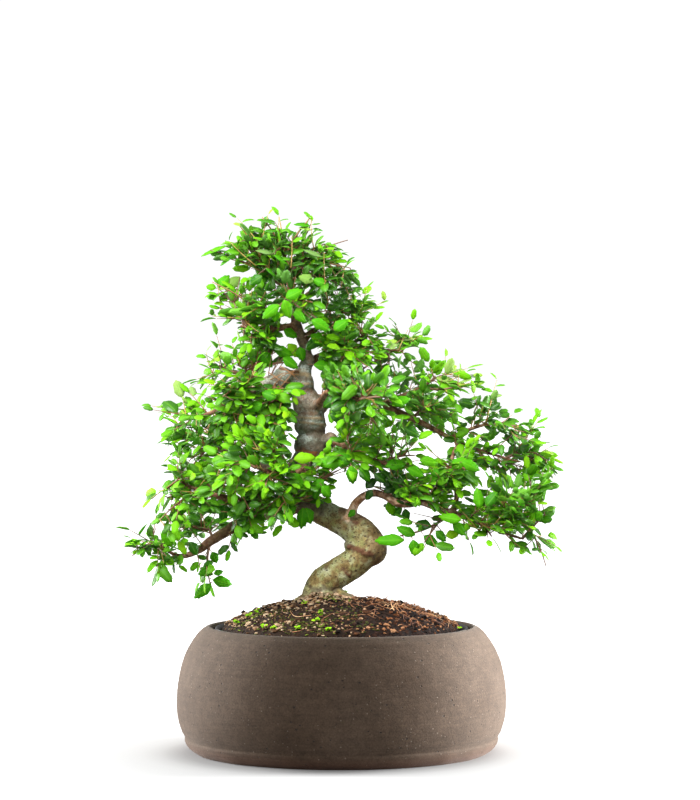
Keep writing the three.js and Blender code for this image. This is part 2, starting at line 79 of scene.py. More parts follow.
def on_sheet(points):
    """Where points in mm show on the front sheet, as rows of steps to the right and down."""
    away = (points[:, 1] - EYE[1]) / -EYE[1] / SHEET_PER_MM
    right = SHEET_RIGHT + (points[:, 0] - EYE[0]) / away
    down = SHEET_DOWN - (points[:, 2] - EYE[2]) / away
    return np.stack([right, down], 1)


def camera():
    lens = bpy.data.cameras.new("front_camera")
    lens.sensor_width = 36
    lens.lens = SHEET_PER_MM * -EYE[1] * lens.sensor_width / SHEET_HEIGHT
    lens.clip_end = 50
    eye = bpy.data.objects.new("front_camera", lens)
    eye.location = EYE * MM
    eye.rotation_euler = (math.pi / 2, 0, 0)
    bpy.context.scene.collection.objects.link(eye)
    bpy.context.scene.camera = eye


camera()

# Limbs: right, down, deep and radius in mm at each point, from the root of the limb outwards.
TRUNK_FOOT = [
    (322, 622, 0, 14.2), (321, 606, 0, 13.8), (321, 594, 0, 12.8), (323, 585, 0, 11.8),
    (329, 578, -1, 10.9), (340, 571, -1, 10.5), (354, 562, -2, 10.6), (364, 552, -2, 11.4),
]
KNEE = (367.5, 548, -2, 12.6)
TRUNK = [
    (369, 546, -2, 11), (361, 534, -1, 11), (346, 524, 1, 10), (331, 517, 3, 9.3), (317, 510, 4, 9.1),
    (304, 499, 5, 9.2), (298, 484, 5, 9.2), (302, 467, 4, 9.4), (309, 455, 3, 9.8), (311, 446, 2, 11.4),
    (312, 434, 1, 9.3), (310, 424, 0, 10.5), (309, 411, 0, 10.1), (305, 398, -1, 9.5), (302, 387, -1, 7.4),
    (303, 374, 0, 6.1), (307, 361, 1, 4.4), (305, 348, 2, 3.9), (300, 335, 2, 4), (296, 322, 2, 3.6),
    (293, 302, 1, 3), (289, 280, 0, 2.4), (287, 262, 0, 1.8),
]
LIMBS = {
    "left_low_front": [(302, 492, 2, 6.5), (290, 503, -5, 5.2), (275, 509, -10, 4.6), (257, 504, -14, 3.8),
                       (238, 501, -17, 3.2), (212, 495, -20, 2.5), (192, 488, -22, 1.8),
                       (178, 480, -22, 1.3)],
    "left_low_back": [(303, 496, 8, 6), (290, 508, 12, 5.4), (268, 513, 16, 4.8), (243, 521, 18, 4.4),
                      (226, 531, 17, 4), (210, 541, 16, 3.6), (196, 551, 14, 2.8), (178, 556, 12, 2),
                      (158, 545, 10, 1.3)],
    "left_mid": [(299, 472, 6, 6), (282, 470, 16, 4.4), (257, 463, 23, 3.5), (230, 453, 28, 2.8),
                 (208, 444, 30, 2), (192, 436, 32, 1.3)],
    "left_high": [(301, 384, -2, 6.4), (285, 378, -6, 6.2), (268, 383, -10, 5), (250, 392, -13, 3.6),
                  (231, 404, -15, 2.8), (211, 413, -16, 2), (190, 420, -16, 1.3)],
    "left_high_fork": [(268, 383, -10, 4), (255, 379, -4, 2.6), (241, 374, 0, 2), (228, 371, 2, 1.3)],
    "right_low": [(348, 523, 0, 4.6), (351, 512, -2, 3.7), (355, 503, -4, 3.2), (363, 496, -6, 3),
                  (373, 493, -9, 2.9), (384, 496, -11, 2.8), (396, 503, -12, 2.8), (408, 504, -13, 2.8),
                  (420, 502, -12, 2.8), (434, 507, -10, 2.8), (451, 513, -8, 2.6), (475, 521, -6, 2.2),
                  (498, 531, -4, 1.8), (522, 539, -2, 1.3)],
    "right_low_rise": [(451, 513, -8, 2.4), (456, 495, -5, 2.2), (451, 474, -2, 2), (453, 455, 1, 1.8),
                       (460, 440, 6, 1.3)],
    "right_mid": [(312, 448, 1, 6), (327, 441, -6, 4.4), (338, 443, -11, 3), (348, 447, -14, 2.7),
                  (362, 456, -17, 2.4), (380, 462, -20, 1.9), (402, 468, -22, 1.3)],
    "right_high": [(309, 418, 1, 6), (321, 409, 4, 4.2), (327, 402, 6, 3.4), (333, 393, 9, 3.1),
                   (342, 390, 11, 3), (355, 391, 14, 3), (367, 396, 16, 3), (382, 404, 17, 2.9),
                   (401, 413, 17, 2.7), (418, 421, 16, 2.5), (434, 429, 15, 2.3), (450, 438, 12, 2),
                   (470, 447, 9, 1.7), (495, 455, 6, 1.5), (520, 462, 4, 1.3)],
    "right_high_fork": [(382, 404, 17, 2.7), (400, 397, 14, 2.2), (416, 390, 10, 1.8), (432, 381, 6, 1.3)],
    "right_far_fork": [(450, 438, 12, 2), (468, 430, 6, 1.8), (484, 425, 2, 1.5), (500, 424, -1, 1.3)],
    "shoulder": [(306, 366, 1, 4), (318, 357, 6, 2.8), (338, 350, 11, 2.3), (360, 346, 14, 2),
                 (382, 350, 14, 1.6), (402, 350, 13, 1.3)],
    "front_mid": [(304, 462, 2, 6), (302, 470, -12, 3.2), (290, 474, -24, 2.6), (272, 472, -34, 2),
                  (256, 468, -42, 1.3)],
    "back_low": [(298, 478, 8, 6), (310, 468, 26, 3.8), (330, 458, 44, 2.8), (352, 452, 58, 2),
                 (372, 448, 68, 1.3)],
    "back_high": [(304, 396, 2, 5), (292, 390, 20, 3.4), (278, 386, 38, 2.6), (262, 386, 54, 1.9),
                  (248, 390, 66, 1.3)],
    "front_high": [(306, 404, -2, 5), (316, 396, -16, 3), (328, 392, -28, 2.4), (344, 394, -38, 1.8),
                   (358, 400, -46, 1.3)],
    "crown_left": [(299, 330, 2, 3.6), (286, 327, -1, 2.8), (273, 330, -5, 2.4), (258, 330, -8, 2),
                   (240, 326, -10, 1.3)],
    "crown_right": [(303, 340, 2, 3.4), (313, 331, 6, 2.3), (326, 324, 9, 1.8), (342, 316, 10, 1.3)],
}
# Two limbs that start thinner in the bark's skin than in their solids, so that the trunk's knobs show.
THINNER_LIMBS = {
    "front_high": [(316, 408, -2, 4.6), (322, 400, -14, 2.9), *LIMBS["front_high"][2:]],
    "right_mid": [(312, 447, 1, 5.4), (326, 441, -6, 3.7), (338, 443, -11, 2.5), *LIMBS["right_mid"][3:]],
}
ROOTS = [
    [(322, 598, 0, 9), (306, 602, -6, 6.5), (294, 610, -12, 4.6), (286, 620, -16, 3)],
    [(322, 598, 0, 9), (322, 603, -13, 6.4), (320, 611, -25, 4.4), (317, 621, -33, 3)],
    [(326, 596, 0, 9), (342, 600, -7, 6.6), (356, 607, -12, 4.6), (367, 617, -15, 3)],
    [(326, 596, 0, 9), (336, 602, 14, 6), (346, 611, 26, 4.2), (353, 621, 33, 3)],
    [(322, 598, 0, 9), (308, 603, 12, 6), (298, 612, 22, 4.2), (291, 622, 28, 3)],
]

# Leafy branchlets: the limb that each grows from, the share along it, and where its tips end.
SPRAYS = {
    "crown_peak_left": ("trunk", 0.93, (241, 223, -4), (216, 252, -8)),
    "crown_peak": ("trunk", 1, (280, 231, -6), (262, 231, 12)),
    "crown_peak_right": ("trunk", 0.965, (312, 220, 0), (340, 258, 8)),
    "crown_left": ("crown_left", 0.9, (226, 288, -6), (224, 318, 6)),
    "crown_right": ("crown_right", 0.9, (368, 294, 4), (352, 290, 30)),
    "crown_front_left": ("crown_left", 0.5, (244, 290, -28)),
    "crown_front": ("trunk", 0.9, (288, 298, -30), (322, 302, -26)),
    "crown_back": ("trunk", 0.945, (262, 262, 32), (312, 274, 34)),
    "shoulder_tip": ("shoulder", 1, (420, 338, 8), (402, 330, -6)),
    "shoulder_front": ("shoulder", 0.5, (374, 328, -14), (354, 374, -24)),
    "shoulder_back": ("shoulder", 0.85, (390, 372, 36)),
    "right_fork_tip": ("right_high_fork", 1, (444, 362, 4), (462, 372, 22)),
    "right_fork_front": ("right_high_fork", 0.8, (472, 386, -12)),
    "front_high_tip": ("front_high", 1, (404, 396, -52), (364, 376, -50)),
    "right_far_tip": ("right_far_fork", 0.9, (534, 426, 2), (520, 440, -24)),
    "right_far_top": ("right_far_fork", 0.5, (490, 398, 4)),
    "right_high_front": ("right_high", 0.62, (430, 404, -18)),
    "right_high_back": ("right_high", 0.6, (466, 420, 38), (394, 424, 46)),
    "right_high_tip": ("right_high", 0.96, (564, 462, 4), (534, 456, 28)),
    "right_mid_tip": ("right_mid", 0.85, (430, 452, -30), (392, 432, -32)),
    "right_mid_root": ("right_mid", 0.5, (352, 474, -38)),
    "right_low_tip": ("right_low", 1, (558, 502, -2), (546, 552, 0)),
    "right_low_under": ("right_low", 0.86, (502, 548, -14), (470, 540, -20)),
    "right_low_droop": ("right_low", 0.77, (386, 542, -22), (416, 554, -26)),
    "right_low_outer": ("right_low", 0.94, (534, 484, -20), (496, 492, -26)),
    "right_rise_front": ("right_low_rise", 0.6, (430, 476, -24)),
    "right_low_inner": ("right_low", 0.55, (410, 480, -34)),
    "right_rise_tip": ("right_low_rise", 0.9, (502, 474, 20)),
    "right_low_back": ("right_low", 0.82, (512, 508, 26)),
    "right_low_root": ("right_low", 0.45, (384, 484, 12)),
    "front_mid_root": ("front_mid", 0.25, (326, 490, -28)),
    "back_low_tip": ("back_low", 1, (398, 446, 84), (350, 428, 82)),
    "back_high_tip": ("back_high", 0.9, (250, 362, 78), (230, 404, 88)),
    "left_fork_tip": ("left_high_fork", 1, (206, 358, -4), (200, 384, 20)),
    "left_fork_top": ("left_high_fork", 0.5, (242, 350, -10)),
    "left_high_tip": ("left_high", 1, (160, 404, -14), (168, 436, -10)),
    "left_high_front": ("left_high", 0.5, (244, 378, -38), (212, 400, -40)),
    "left_high_root": ("left_high", 0.25, (270, 412, -32)),
    "left_mid_tip": ("left_mid", 1, (168, 440, 28), (176, 468, 20)),
    "left_mid_back": ("left_mid", 0.6, (212, 434, 60)),
    "left_mid_front": ("left_mid", 0.75, (196, 464, 4)),
    "front_mid_tip": ("front_mid", 1, (222, 454, -46), (212, 482, -42)),
    "front_mid_under": ("front_mid", 0.8, (264, 496, -54)),
    "front_mid_top": ("front_mid", 0.55, (262, 438, -46)),
    "left_low_tip": ("left_low_front", 1, (164, 486, -20), (152, 508, -18)),
    "left_low_front": ("left_low_front", 0.8, (178, 508, -44)),
    "left_low_top": ("left_low_front", 0.7, (200, 470, -8)),
    "left_low_under": ("left_low_front", 0.5, (226, 524, -38), (266, 528, -28)),
    "left_low_root": ("left_low_front", 0.12, (302, 524, -18)),
    "left_end_tip": ("left_low_back", 1, (124, 548, 6), (150, 530, -2)),
    "left_end_under": ("left_low_back", 0.95, (162, 574, 14)),
    "left_hanging": ("left_low_back", 0.62, (210, 600, 14)),
    "left_end_back": ("left_low_back", 0.6, (204, 512, 42)),
    "left_end_front": ("left_low_back", 0.5, (240, 544, 6)),
}

# Where the crown's leaves end, as the front sees it, and where the air shows through it.
CROWN_OUTLINE = [
    (206, 256), (238, 231), (262, 225), (302, 227), (324, 240), (344, 252), (360, 272), (384, 296),
    (392, 318), (428, 330), (430, 352), (444, 368), (470, 366), (496, 378), (502, 404), (518, 420),
    (542, 424), (550, 440), (566, 462), (560, 486), (538, 504), (540, 524), (550, 542), (544, 566),
    (520, 552), (470, 552), (440, 546), (414, 560), (384, 544), (380, 520), (340, 500), (318, 512),
    (312, 534), (276, 532), (242, 536), (236, 560), (232, 590), (208, 604), (192, 596), (180, 572),
    (152, 586), (152, 560), (118, 552), (136, 530), (144, 494), (160, 470), (160, 442), (166, 426),
    (146, 410), (158, 394), (194, 384), (204, 366), (200, 344), (224, 334), (204, 314), (204, 286),
    (218, 270),
]
CROWN_GAPS = [
    [(338, 474), (356, 480), (374, 476), (392, 486), (384, 506), (360, 500), (340, 508)],
    [(410, 446), (426, 438), (443, 443), (446, 453), (438, 461), (414, 462)],
    [(206, 322), (236, 322), (236, 344), (206, 344)],
    [(434, 370), (452, 376), (452, 390), (440, 388)],
    [(144, 470), (166, 474), (168, 490), (146, 492)],
    [(296, 340), (312, 340), (326, 400), (330, 436), (322, 448), (298, 452), (298, 400), (296, 370)],
    [(300, 510), (330, 512), (360, 530), (380, 540), (380, 600), (296, 600), (300, 560)],
    [(363, 503), (382, 505), (389, 524), (402, 531), (384, 536), (372, 520)],
    [(408, 508), (437, 515), (434, 521), (414, 520), (404, 526)],
    [(216, 262), (234, 255), (246, 262), (244, 275), (237, 288), (238, 304), (228, 309), (222, 297),
     (226, 283)],
    [(277, 336), (292, 336), (297, 346), (298, 357), (286, 350), (279, 346)],
    [(264, 367), (296, 362), (300, 380), (290, 388), (270, 389)],
]

# Where leaves lie in the shade of others, and where they are pale against the light: outline, and how much.
SHADED = [
    ([(256, 266), (346, 262), (352, 322), (318, 318), (300, 300), (262, 304)], 0.4),
    ([(322, 364), (422, 366), (432, 402), (330, 406)], 0.6),
    ([(350, 468), (404, 468), (410, 506), (362, 506)], 0.3),
    ([(456, 404), (512, 404), (524, 440), (460, 442)], 0.5),
    ([(196, 500), (254, 500), (252, 542), (196, 542)], 0.6),
    ([(200, 205), (360, 205), (360, 262), (200, 262)], 0.8),
]
PALE = [
    ([(428, 346), (500, 370), (512, 404), (470, 400), (440, 376)], 0.45),
    ([(516, 410), (568, 430), (570, 474), (540, 452)], 0.35),
    ([(146, 395), (210, 340), (216, 368), (180, 424)], 0.35),
    ([(202, 270), (226, 270), (228, 330), (204, 330)], 0.4),
    ([(226, 210), (330, 210), (340, 236), (232, 236)], 0.2),
    ([(340, 240), (360, 240), (400, 320), (380, 330)], 0.3),
    ([(384, 318), (432, 324), (440, 352), (392, 346)], 0.25),
]

# Longer fine shoots: the branchlet that bears each, and where it ends on the sheet.
CROWN_FILL = [
    ("left_high_root", 264, 428, -34), ("left_high_root", 284, 432, -30),
    ("front_mid_top", 282, 438, -40), ("front_mid_top", 248, 416, -30),
    ("left_high_front", 236, 424, -30), ("left_mid_back", 256, 430, 40), ("crown_right", 330, 334, 20),
    ("shoulder_front", 330, 352, -4), ("shoulder_front", 334, 374, -14), ("crown_left", 262, 346, -6),
    ("left_fork_top", 270, 356, -12), ("left_fork_top", 284, 362, -14), ("front_high_tip", 346, 414, -40),
    ("front_high_tip", 372, 424, -46), ("right_mid_root", 344, 424, -28),
    ("left_low_root", 270, 494, -26), ("front_mid_under", 286, 504, -50), ("left_low_top", 176, 492, -6),
    ("left_end_back", 176, 524, 30), ("left_low_front", 160, 520, -30), ("left_end_back", 190, 530, 34),
    ("crown_peak_right", 350, 268, -8), ("crown_peak_right", 334, 282, -16),
    ("crown_peak_left", 210, 250, -6), ("crown_peak", 312, 216, -4), ("right_high_tip", 552, 476, 10),
    ("right_low_outer", 552, 486, -10), ("crown_peak", 262, 217, -4), ("crown_peak", 279, 217, 2),
    ("crown_peak_right", 324, 244, -6), ("crown_peak_left", 238, 224, -6),
    ("crown_peak_right", 348, 240, 2), ("crown_peak_right", 352, 290, 2), ("crown_right", 320, 312, -6),
    ("crown_right", 322, 344, 12), ("shoulder_front", 322, 362, -2), ("shoulder_back", 336, 392, 30),
    ("crown_right", 364, 318, 6), ("crown_front_left", 212, 282, -10), ("crown_left", 212, 306, -2),
    ("crown_left", 244, 342, -10), ("left_low_root", 290, 520, -14), ("left_low_root", 316, 494, -20),
    ("left_low_under", 250, 508, -30), ("left_mid_front", 184, 480, 6), ("left_end_tip", 132, 556, 2),
    ("left_end_tip", 166, 556, -8), ("right_rise_front", 470, 470, -20),
    ("right_low_outer", 520, 506, -24), ("right_low_under", 490, 530, -20),
    ("right_low_root", 372, 486, -4), ("right_low_root", 398, 478, 4), ("right_high_back", 440, 412, 30),
    ("back_low_tip", 366, 424, 60), ("right_low_tip", 546, 566, -4), ("right_rise_tip", 530, 470, 10),
    ("left_fork_top", 276, 352, -14), ("left_fork_top", 296, 362, -16), ("crown_left", 268, 348, -6),
    ("left_low_top", 228, 486, -14), ("left_low_top", 246, 490, -18), ("front_mid_tip", 240, 492, -50),
    ("front_mid_under", 252, 490, -52), ("right_rise_front", 436, 490, -24),
    ("right_low_inner", 430, 494, -34), ("right_rise_front", 446, 486, -26),
    ("right_low_under", 514, 534, -10), ("right_low_inner", 400, 500, -30),
    ("left_high_front", 216, 424, -30), ("left_mid_tip", 220, 426, 30), ("front_mid_top", 246, 446, -46),
    ("front_high_tip", 330, 408, -40), ("shoulder_front", 331, 380, 4), ("left_high_root", 292, 416, -24),
    ("front_mid_root", 328, 480, -24), ("front_high_tip", 340, 398, -34),
    ("front_high_tip", 336, 392, -30),
]

# Large open leaves that the front shows singly, by the branchlet that bears them: root and tip on the
# sheet, depth, and tone.
# The lowest tones are painted shade where a leaf lies deep in the crown, and tones above 1 painted light
# through a pale leaf.
OPEN_LEAVES = {
    "left_low_under": [((243, 508), (252, 525), -26, 0.5), ((246, 526), (258, 534), -22, 0.62)],
    "left_low_tip": [((226, 500), (222, 522), -24, 0.35)],
    "left_end_back": [((190, 542), (197, 555), -14, 0.3)],
    "left_low_front": [((163, 530), (172, 547), -22, 0.74)],
    "left_low_top": [((187, 500), (172, 521), -22, 0.7), ((208, 493), (193, 505), -24, 1.2)],
    "left_low_root": [
        ((243, 481), (271, 497), -36, 0.72), ((303, 508), (301, 529), -26, 0.5),
        ((306, 508), (311, 524), -24, 0.55), ((296, 507), (280, 513), -24, 0.58),
    ],
    "left_fork_top": [
        ((299, 347), (303, 361), -10, 0.55), ((274, 349), (293, 355), -16, 0.62),
        ((283, 358), (298, 368), -18, 0.6), ((262, 352), (272, 366), -14, 0.5),
        ((288, 344), (299, 357), -10, 0.95),
    ],
    "crown_left": [
        ((284, 330), (297, 337), -12, 0.6), ((262, 276), (249, 284), -24, 0.3),
        ((266, 268), (277, 277), -26, 0.4), ((272, 333), (271, 350), -8, 0.6),
        ((218, 288), (229, 275), -6, 0.7), ((216, 288), (206, 286), -6, 0.8),
        ((217, 296), (207, 297), -6, 0.7), ((220, 301), (230, 293), -6, 0.65),
        ((240, 277), (225, 290), -6, 1.2),
    ],
    "front_mid_root": [
        ((344, 463), (317, 464), -42, 0.72), ((352, 463), (337, 454), -38, 0.45),
        ((351, 466), (353, 484), -44, 0.66), ((360, 468), (370, 481), -40, 0.5),
        ((324, 480), (310, 489), -34, 0.6), ((322, 486), (331, 497), -36, 0.68),
        ((318, 488), (314, 499), -30, 0.5), ((290, 474), (304, 487), -44, 0.66),
        ((294, 459), (315, 457), -42, 0.95),
    ],
    "right_mid_root": [
        ((386, 466), (406, 463), -40, 0.55), ((374, 474), (386, 482), -34, 0.12),
        ((408, 468), (424, 476), -42, 0.7), ((420, 460), (438, 463), -44, 0.75),
    ],
    "right_low_droop": [
        ((404, 540), (375, 540), -30, 0.7), ((415, 535), (397, 527), -28, 0.62),
        ((413, 540), (415, 556), -30, 0.62), ((431, 526), (415, 523), -24, 0.15),
        ((424, 536), (438, 546), -26, 0.45), ((436, 531), (446, 541), -28, 0.4),
        ((446, 536), (459, 533), -24, 1.0),
    ],
    "right_low_inner": [
        ((461, 520), (439, 516), -38, 0.75), ((453, 523), (466, 535), -34, 0.68),
        ((398, 484), (408, 474), -26, 0.2), ((412, 482), (424, 488), -30, 0.6),
        ((426, 480), (440, 478), -32, 0.66),
    ],
    "right_low_root": [
        ((388, 502), (393, 515), -8, 0.85), ((402, 508), (391, 515), -6, 0.4),
        ((405, 509), (407, 522), -4, 0.3), ((366, 488), (376, 478), -14, 0.1),
        ((372, 490), (366, 500), -20, 0.15), ((384, 492), (396, 486), -20, 0.05),
        ((390, 488), (384, 476), -18, 0.1), ((402, 496), (412, 486), -20, 0.1),
        ((355, 510), (348, 517), -12, 0.45),
    ],
    "crown_front": [
        ((279, 305), (262, 318), -40, 0.72), ((284, 300), (290, 318), -42, 0.74),
        ((286, 298), (302, 290), -40, 0.7), ((276, 310), (275, 322), -40, 0.68),
        ((294, 312), (306, 322), -38, 0.66), ((312, 320), (330, 330), -36, 0.66),
        ((334, 330), (348, 320), -34, 0.62),
    ],
    "left_hanging": [
        ((212, 552), (217, 563), 14, 0.5), ((212, 570), (198, 574), 14, 0.6),
        ((213, 580), (232, 584), 14, 0.68), ((211, 584), (194, 598), 14, 0.6),
        ((213, 562), (203, 566), 14, 0.4), ((214, 574), (223, 571), 14, 0.5),
    ],
    "front_high_tip": [
        ((352, 398), (338, 406), -54, 0.6), ((392, 404), (410, 398), -56, 0.7),
        ((336, 398), (323, 407), -44, 0.2), ((340, 388), (350, 380), -44, 0.3),
        ((330, 414), (344, 420), -46, 0.2),
    ],
    "right_mid_tip": [((404, 428), (420, 436), -42, 0.3)],
    "left_high_root": [((262, 404), (246, 410), -40, 0.6), ((276, 398), (262, 392), -42, 0.45)],
    "left_mid_front": [((212, 470), (196, 476), -6, 0.6)],
    "front_mid_tip": [((240, 470), (254, 480), -54, 0.7)],
    "crown_peak_left": [
        ((226, 246), (201, 255), -6, 0.75), ((235, 249), (222, 253), -8, 0.7),
        ((233, 255), (220, 265), -8, 0.6),
    ],
    "crown_peak": [
        ((275, 222), (260, 220), -8, 0.35), ((280, 231), (296, 232), -10, 0.4),
        ((278, 231), (264, 230), -12, 0.35), ((272, 254), (256, 249), -22, 1.24),
        ((274, 255), (289, 264), -24, 0.55),
    ],
    "crown_peak_right": [
        ((310, 226), (294, 223), -6, 0.5), ((313, 229), (323, 230), -8, 0.55),
        ((312, 221), (311, 215), -6, 0.9), ((322, 257), (304, 249), -24, 1.24),
        ((325, 284), (313, 279), -26, 0.6), ((313, 281), (299, 276), -28, 1.2),
    ],
    "right_low_outer": [((480, 508), (477, 488), -34, 0.72), ((486, 506), (497, 492), -34, 0.4)],
    "right_rise_front": [
        ((452, 468), (466, 458), -30, 0.72), ((462, 462), (480, 470), -30, 0.7),
        ((444, 476), (430, 470), -28, 0.6),
    ],
    "crown_right": [((322, 337), (305, 349), -8, 0.3), ((311, 335), (327, 344), -12, 0.7)],
    "shoulder_front": [
        ((314, 365), (335, 367), -12, 0.6), ((336, 366), (347, 377), -14, 0.6),
        ((328, 352), (318, 362), -10, 0.3),
    ],
}

# Thin bare twigs in front of the left limb's knob, as places on the sheet.
BARE_TWIGS = [
    [(272, 388), (282, 376), (297, 369)], [(270, 380), (284, 373), (299, 375)],
    [(276, 392), (286, 381), (294, 371)], [(280, 366), (290, 372), (298, 380)],
    [(268, 372), (280, 380), (292, 384)],
]

# Upright and arching young shoots with level leaves: the branchlet, foot and tip on the sheet, and depth.
YOUNG_SHOOTS = [
    ("crown_peak_right", (314, 250), (311, 219), -8), ("crown_peak", (279, 246), (279, 216), -10),
    ("crown_peak", (262, 240), (268, 215), -4), ("crown_peak_left", (258, 242), (237, 218), -10),
    ("crown_peak_left", (256, 266), (229, 241), -16), ("crown_peak", (291, 268), (292, 236), -22),
    ("crown_peak_right", (326, 294), (324, 252), -20), ("crown_peak_right", (341, 288), (346, 264), -10),
    ("crown_left", (222, 316), (218, 284), -8), ("crown_left", (236, 318), (212, 316), -10),
    ("crown_right", (356, 316), (385, 301), 6), ("crown_right", (360, 308), (367, 287), 10),
    ("shoulder_tip", (398, 352), (408, 330), -4), ("right_fork_tip", (444, 384), (466, 372), 6),
    ("right_fork_tip", (450, 390), (478, 384), 10), ("right_far_top", (486, 424), (497, 380), 4),
    ("right_far_tip", (520, 446), (540, 418), 0), ("left_fork_tip", (214, 376), (206, 352), -2),
    ("left_fork_top", (240, 366), (232, 344), -8), ("left_high_tip", (186, 410), (152, 406), -10),
]

# The foliage is dressed in these pieces, each for the branchlets whose names start so.
FOLIAGE = {
    "crown_top_leaves": ("crown_peak", "crown_back"),
    "crown_leaves": ("crown_left", "crown_right", "crown_front"),
    "shoulder_leaves": ("shoulder_",),
    "right_fork_leaves": ("right_fork_", "front_high_"),
    "right_far_leaves": ("right_far_", "right_high_tip"),
    "right_high_leaves": ("right_high_front", "right_high_back"),
    "right_mid_leaves": ("right_mid_", "right_rise_", "right_low_inner", "right_low_root", "back_low_"),
    "right_low_leaves": ("right_low_tip", "right_low_under", "right_low_droop", "right_low_outer",
                         "right_low_back"),
    "left_high_leaves": ("left_fork_", "left_high_", "back_high_"),
    "left_mid_leaves": ("left_mid_", "front_mid_"),
    "left_low_leaves": ("left_low_",),
    "left_end_leaves": ("left_end_", "left_hanging"),
}


# Small tools for meshes and materials.

def piece(name, bm, materials, body="root", smooth=True):
    """The finished bmesh, drawn in mm, as a named piece that rides on a body."""
    bmesh.ops.scale(bm, vec=(MM, MM, MM), verts=bm.verts)
    mesh = bpy.data.meshes.new(name)
    bm.to_mesh(mesh)
    bm.free()
    for material in materials:
        mesh.materials.append(material)
    mesh.polygons.foreach_set("use_smooth", [smooth] * len(mesh.polygons))
    made = bpy.data.objects.new(name, mesh)
    bpy.context.scene.collection.objects.link(made)
    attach(made, body)
    return made


def node(tree, kind, inputs=None, **settings):
    """A shader node with its settings, and its inputs linked or set by name or number."""
    made = tree.nodes.new("ShaderNode" + kind)
    for name, value in settings.items():
        setattr(made, name, value)
    for name, value in (inputs or {}).items():
        if isinstance(value, bpy.types.NodeSocket):
            tree.links.new(value, made.inputs[name])
        else:
            made.inputs[name].default_value = value
    return made


def new_material(name):
    material = bpy.data.materials.new(name)
    material.use_nodes = True
    material.node_tree.nodes.clear()
    return material, material.node_tree


def own_place(tree, scale=(1, 1, 1)):
    """The object's own coordinates in mm, stretched by scale."""
    place_node = node(tree, "TexCoord")
    return node(tree, "Mapping", {"Vector": place_node.outputs["Object"],
                                  "Scale": tuple(1000 * s for s in scale)}).outputs["Vector"]


def own_attribute(tree, name):
    return node(tree, "Attribute", attribute_name=name).outputs["Fac"]


def grain(tree, place_socket, scale, detail=3.0, roughness=0.5):
    made = node(tree, "TexNoise", {"Vector": place_socket, "Scale": scale, "Detail": detail,
                                   "Roughness": roughness})
    return made.outputs["Fac"]


def cells(tree, place_socket, scale, channel=0):
    """Scattered cells: how far the middle of the nearest one is, and a random grey of its own."""
    made = node(tree, "TexVoronoi", {"Vector": place_socket, "Scale": scale, "Randomness": 1.0})
    greys = node(tree, "SeparateColor", {"Color": made.outputs["Color"]})
    return made.outputs["Distance"], greys.outputs[channel]


def ramp(tree, value, *stops):
    """A colour or grey for each value: stops are (value, colour) or (value, grey)."""
    made = node(tree, "ValToRGB", {"Fac": value})
    made.color_ramp.elements.remove(made.color_ramp.elements[1])
    for k, (at, colour) in enumerate(stops):
        if not isinstance(colour, tuple):
            colour = (colour, colour, colour)
        stop = made.color_ramp.elements[0] if k == 0 else made.color_ramp.elements.new(at)
        stop.position = at
        stop.color = (*colour, 1)
    return made.outputs["Color"]


def blend(tree, share, first, second, kind="MIX"):
    made = node(tree, "Mix", data_type="RGBA", blend_type=kind)
    for number, value in ((0, share), (6, first), (7, second)):
        if isinstance(value, bpy.types.NodeSocket):
            tree.links.new(value, made.inputs[number])
        elif number == 0:
            made.inputs[number].default_value = value
        else:
            made.inputs[number].default_value = (*value, 1)
    return made.outputs[2]


def sums(tree, operation, first, second):
    return node(tree, "Math", {0: first, 1: second}, operation=operation).outputs[0]


def relief(tree, height, distance, strength=1.0):
    """A bump of that distance in mm."""
    inputs = {"Height": height, "Distance": distance * MM, "Strength": strength}
    return node(tree, "Bump", inputs).outputs["Normal"]


def finish_surface(tree, shader):
    node(tree, "OutputMaterial", {"Surface": shader})


# Materials.

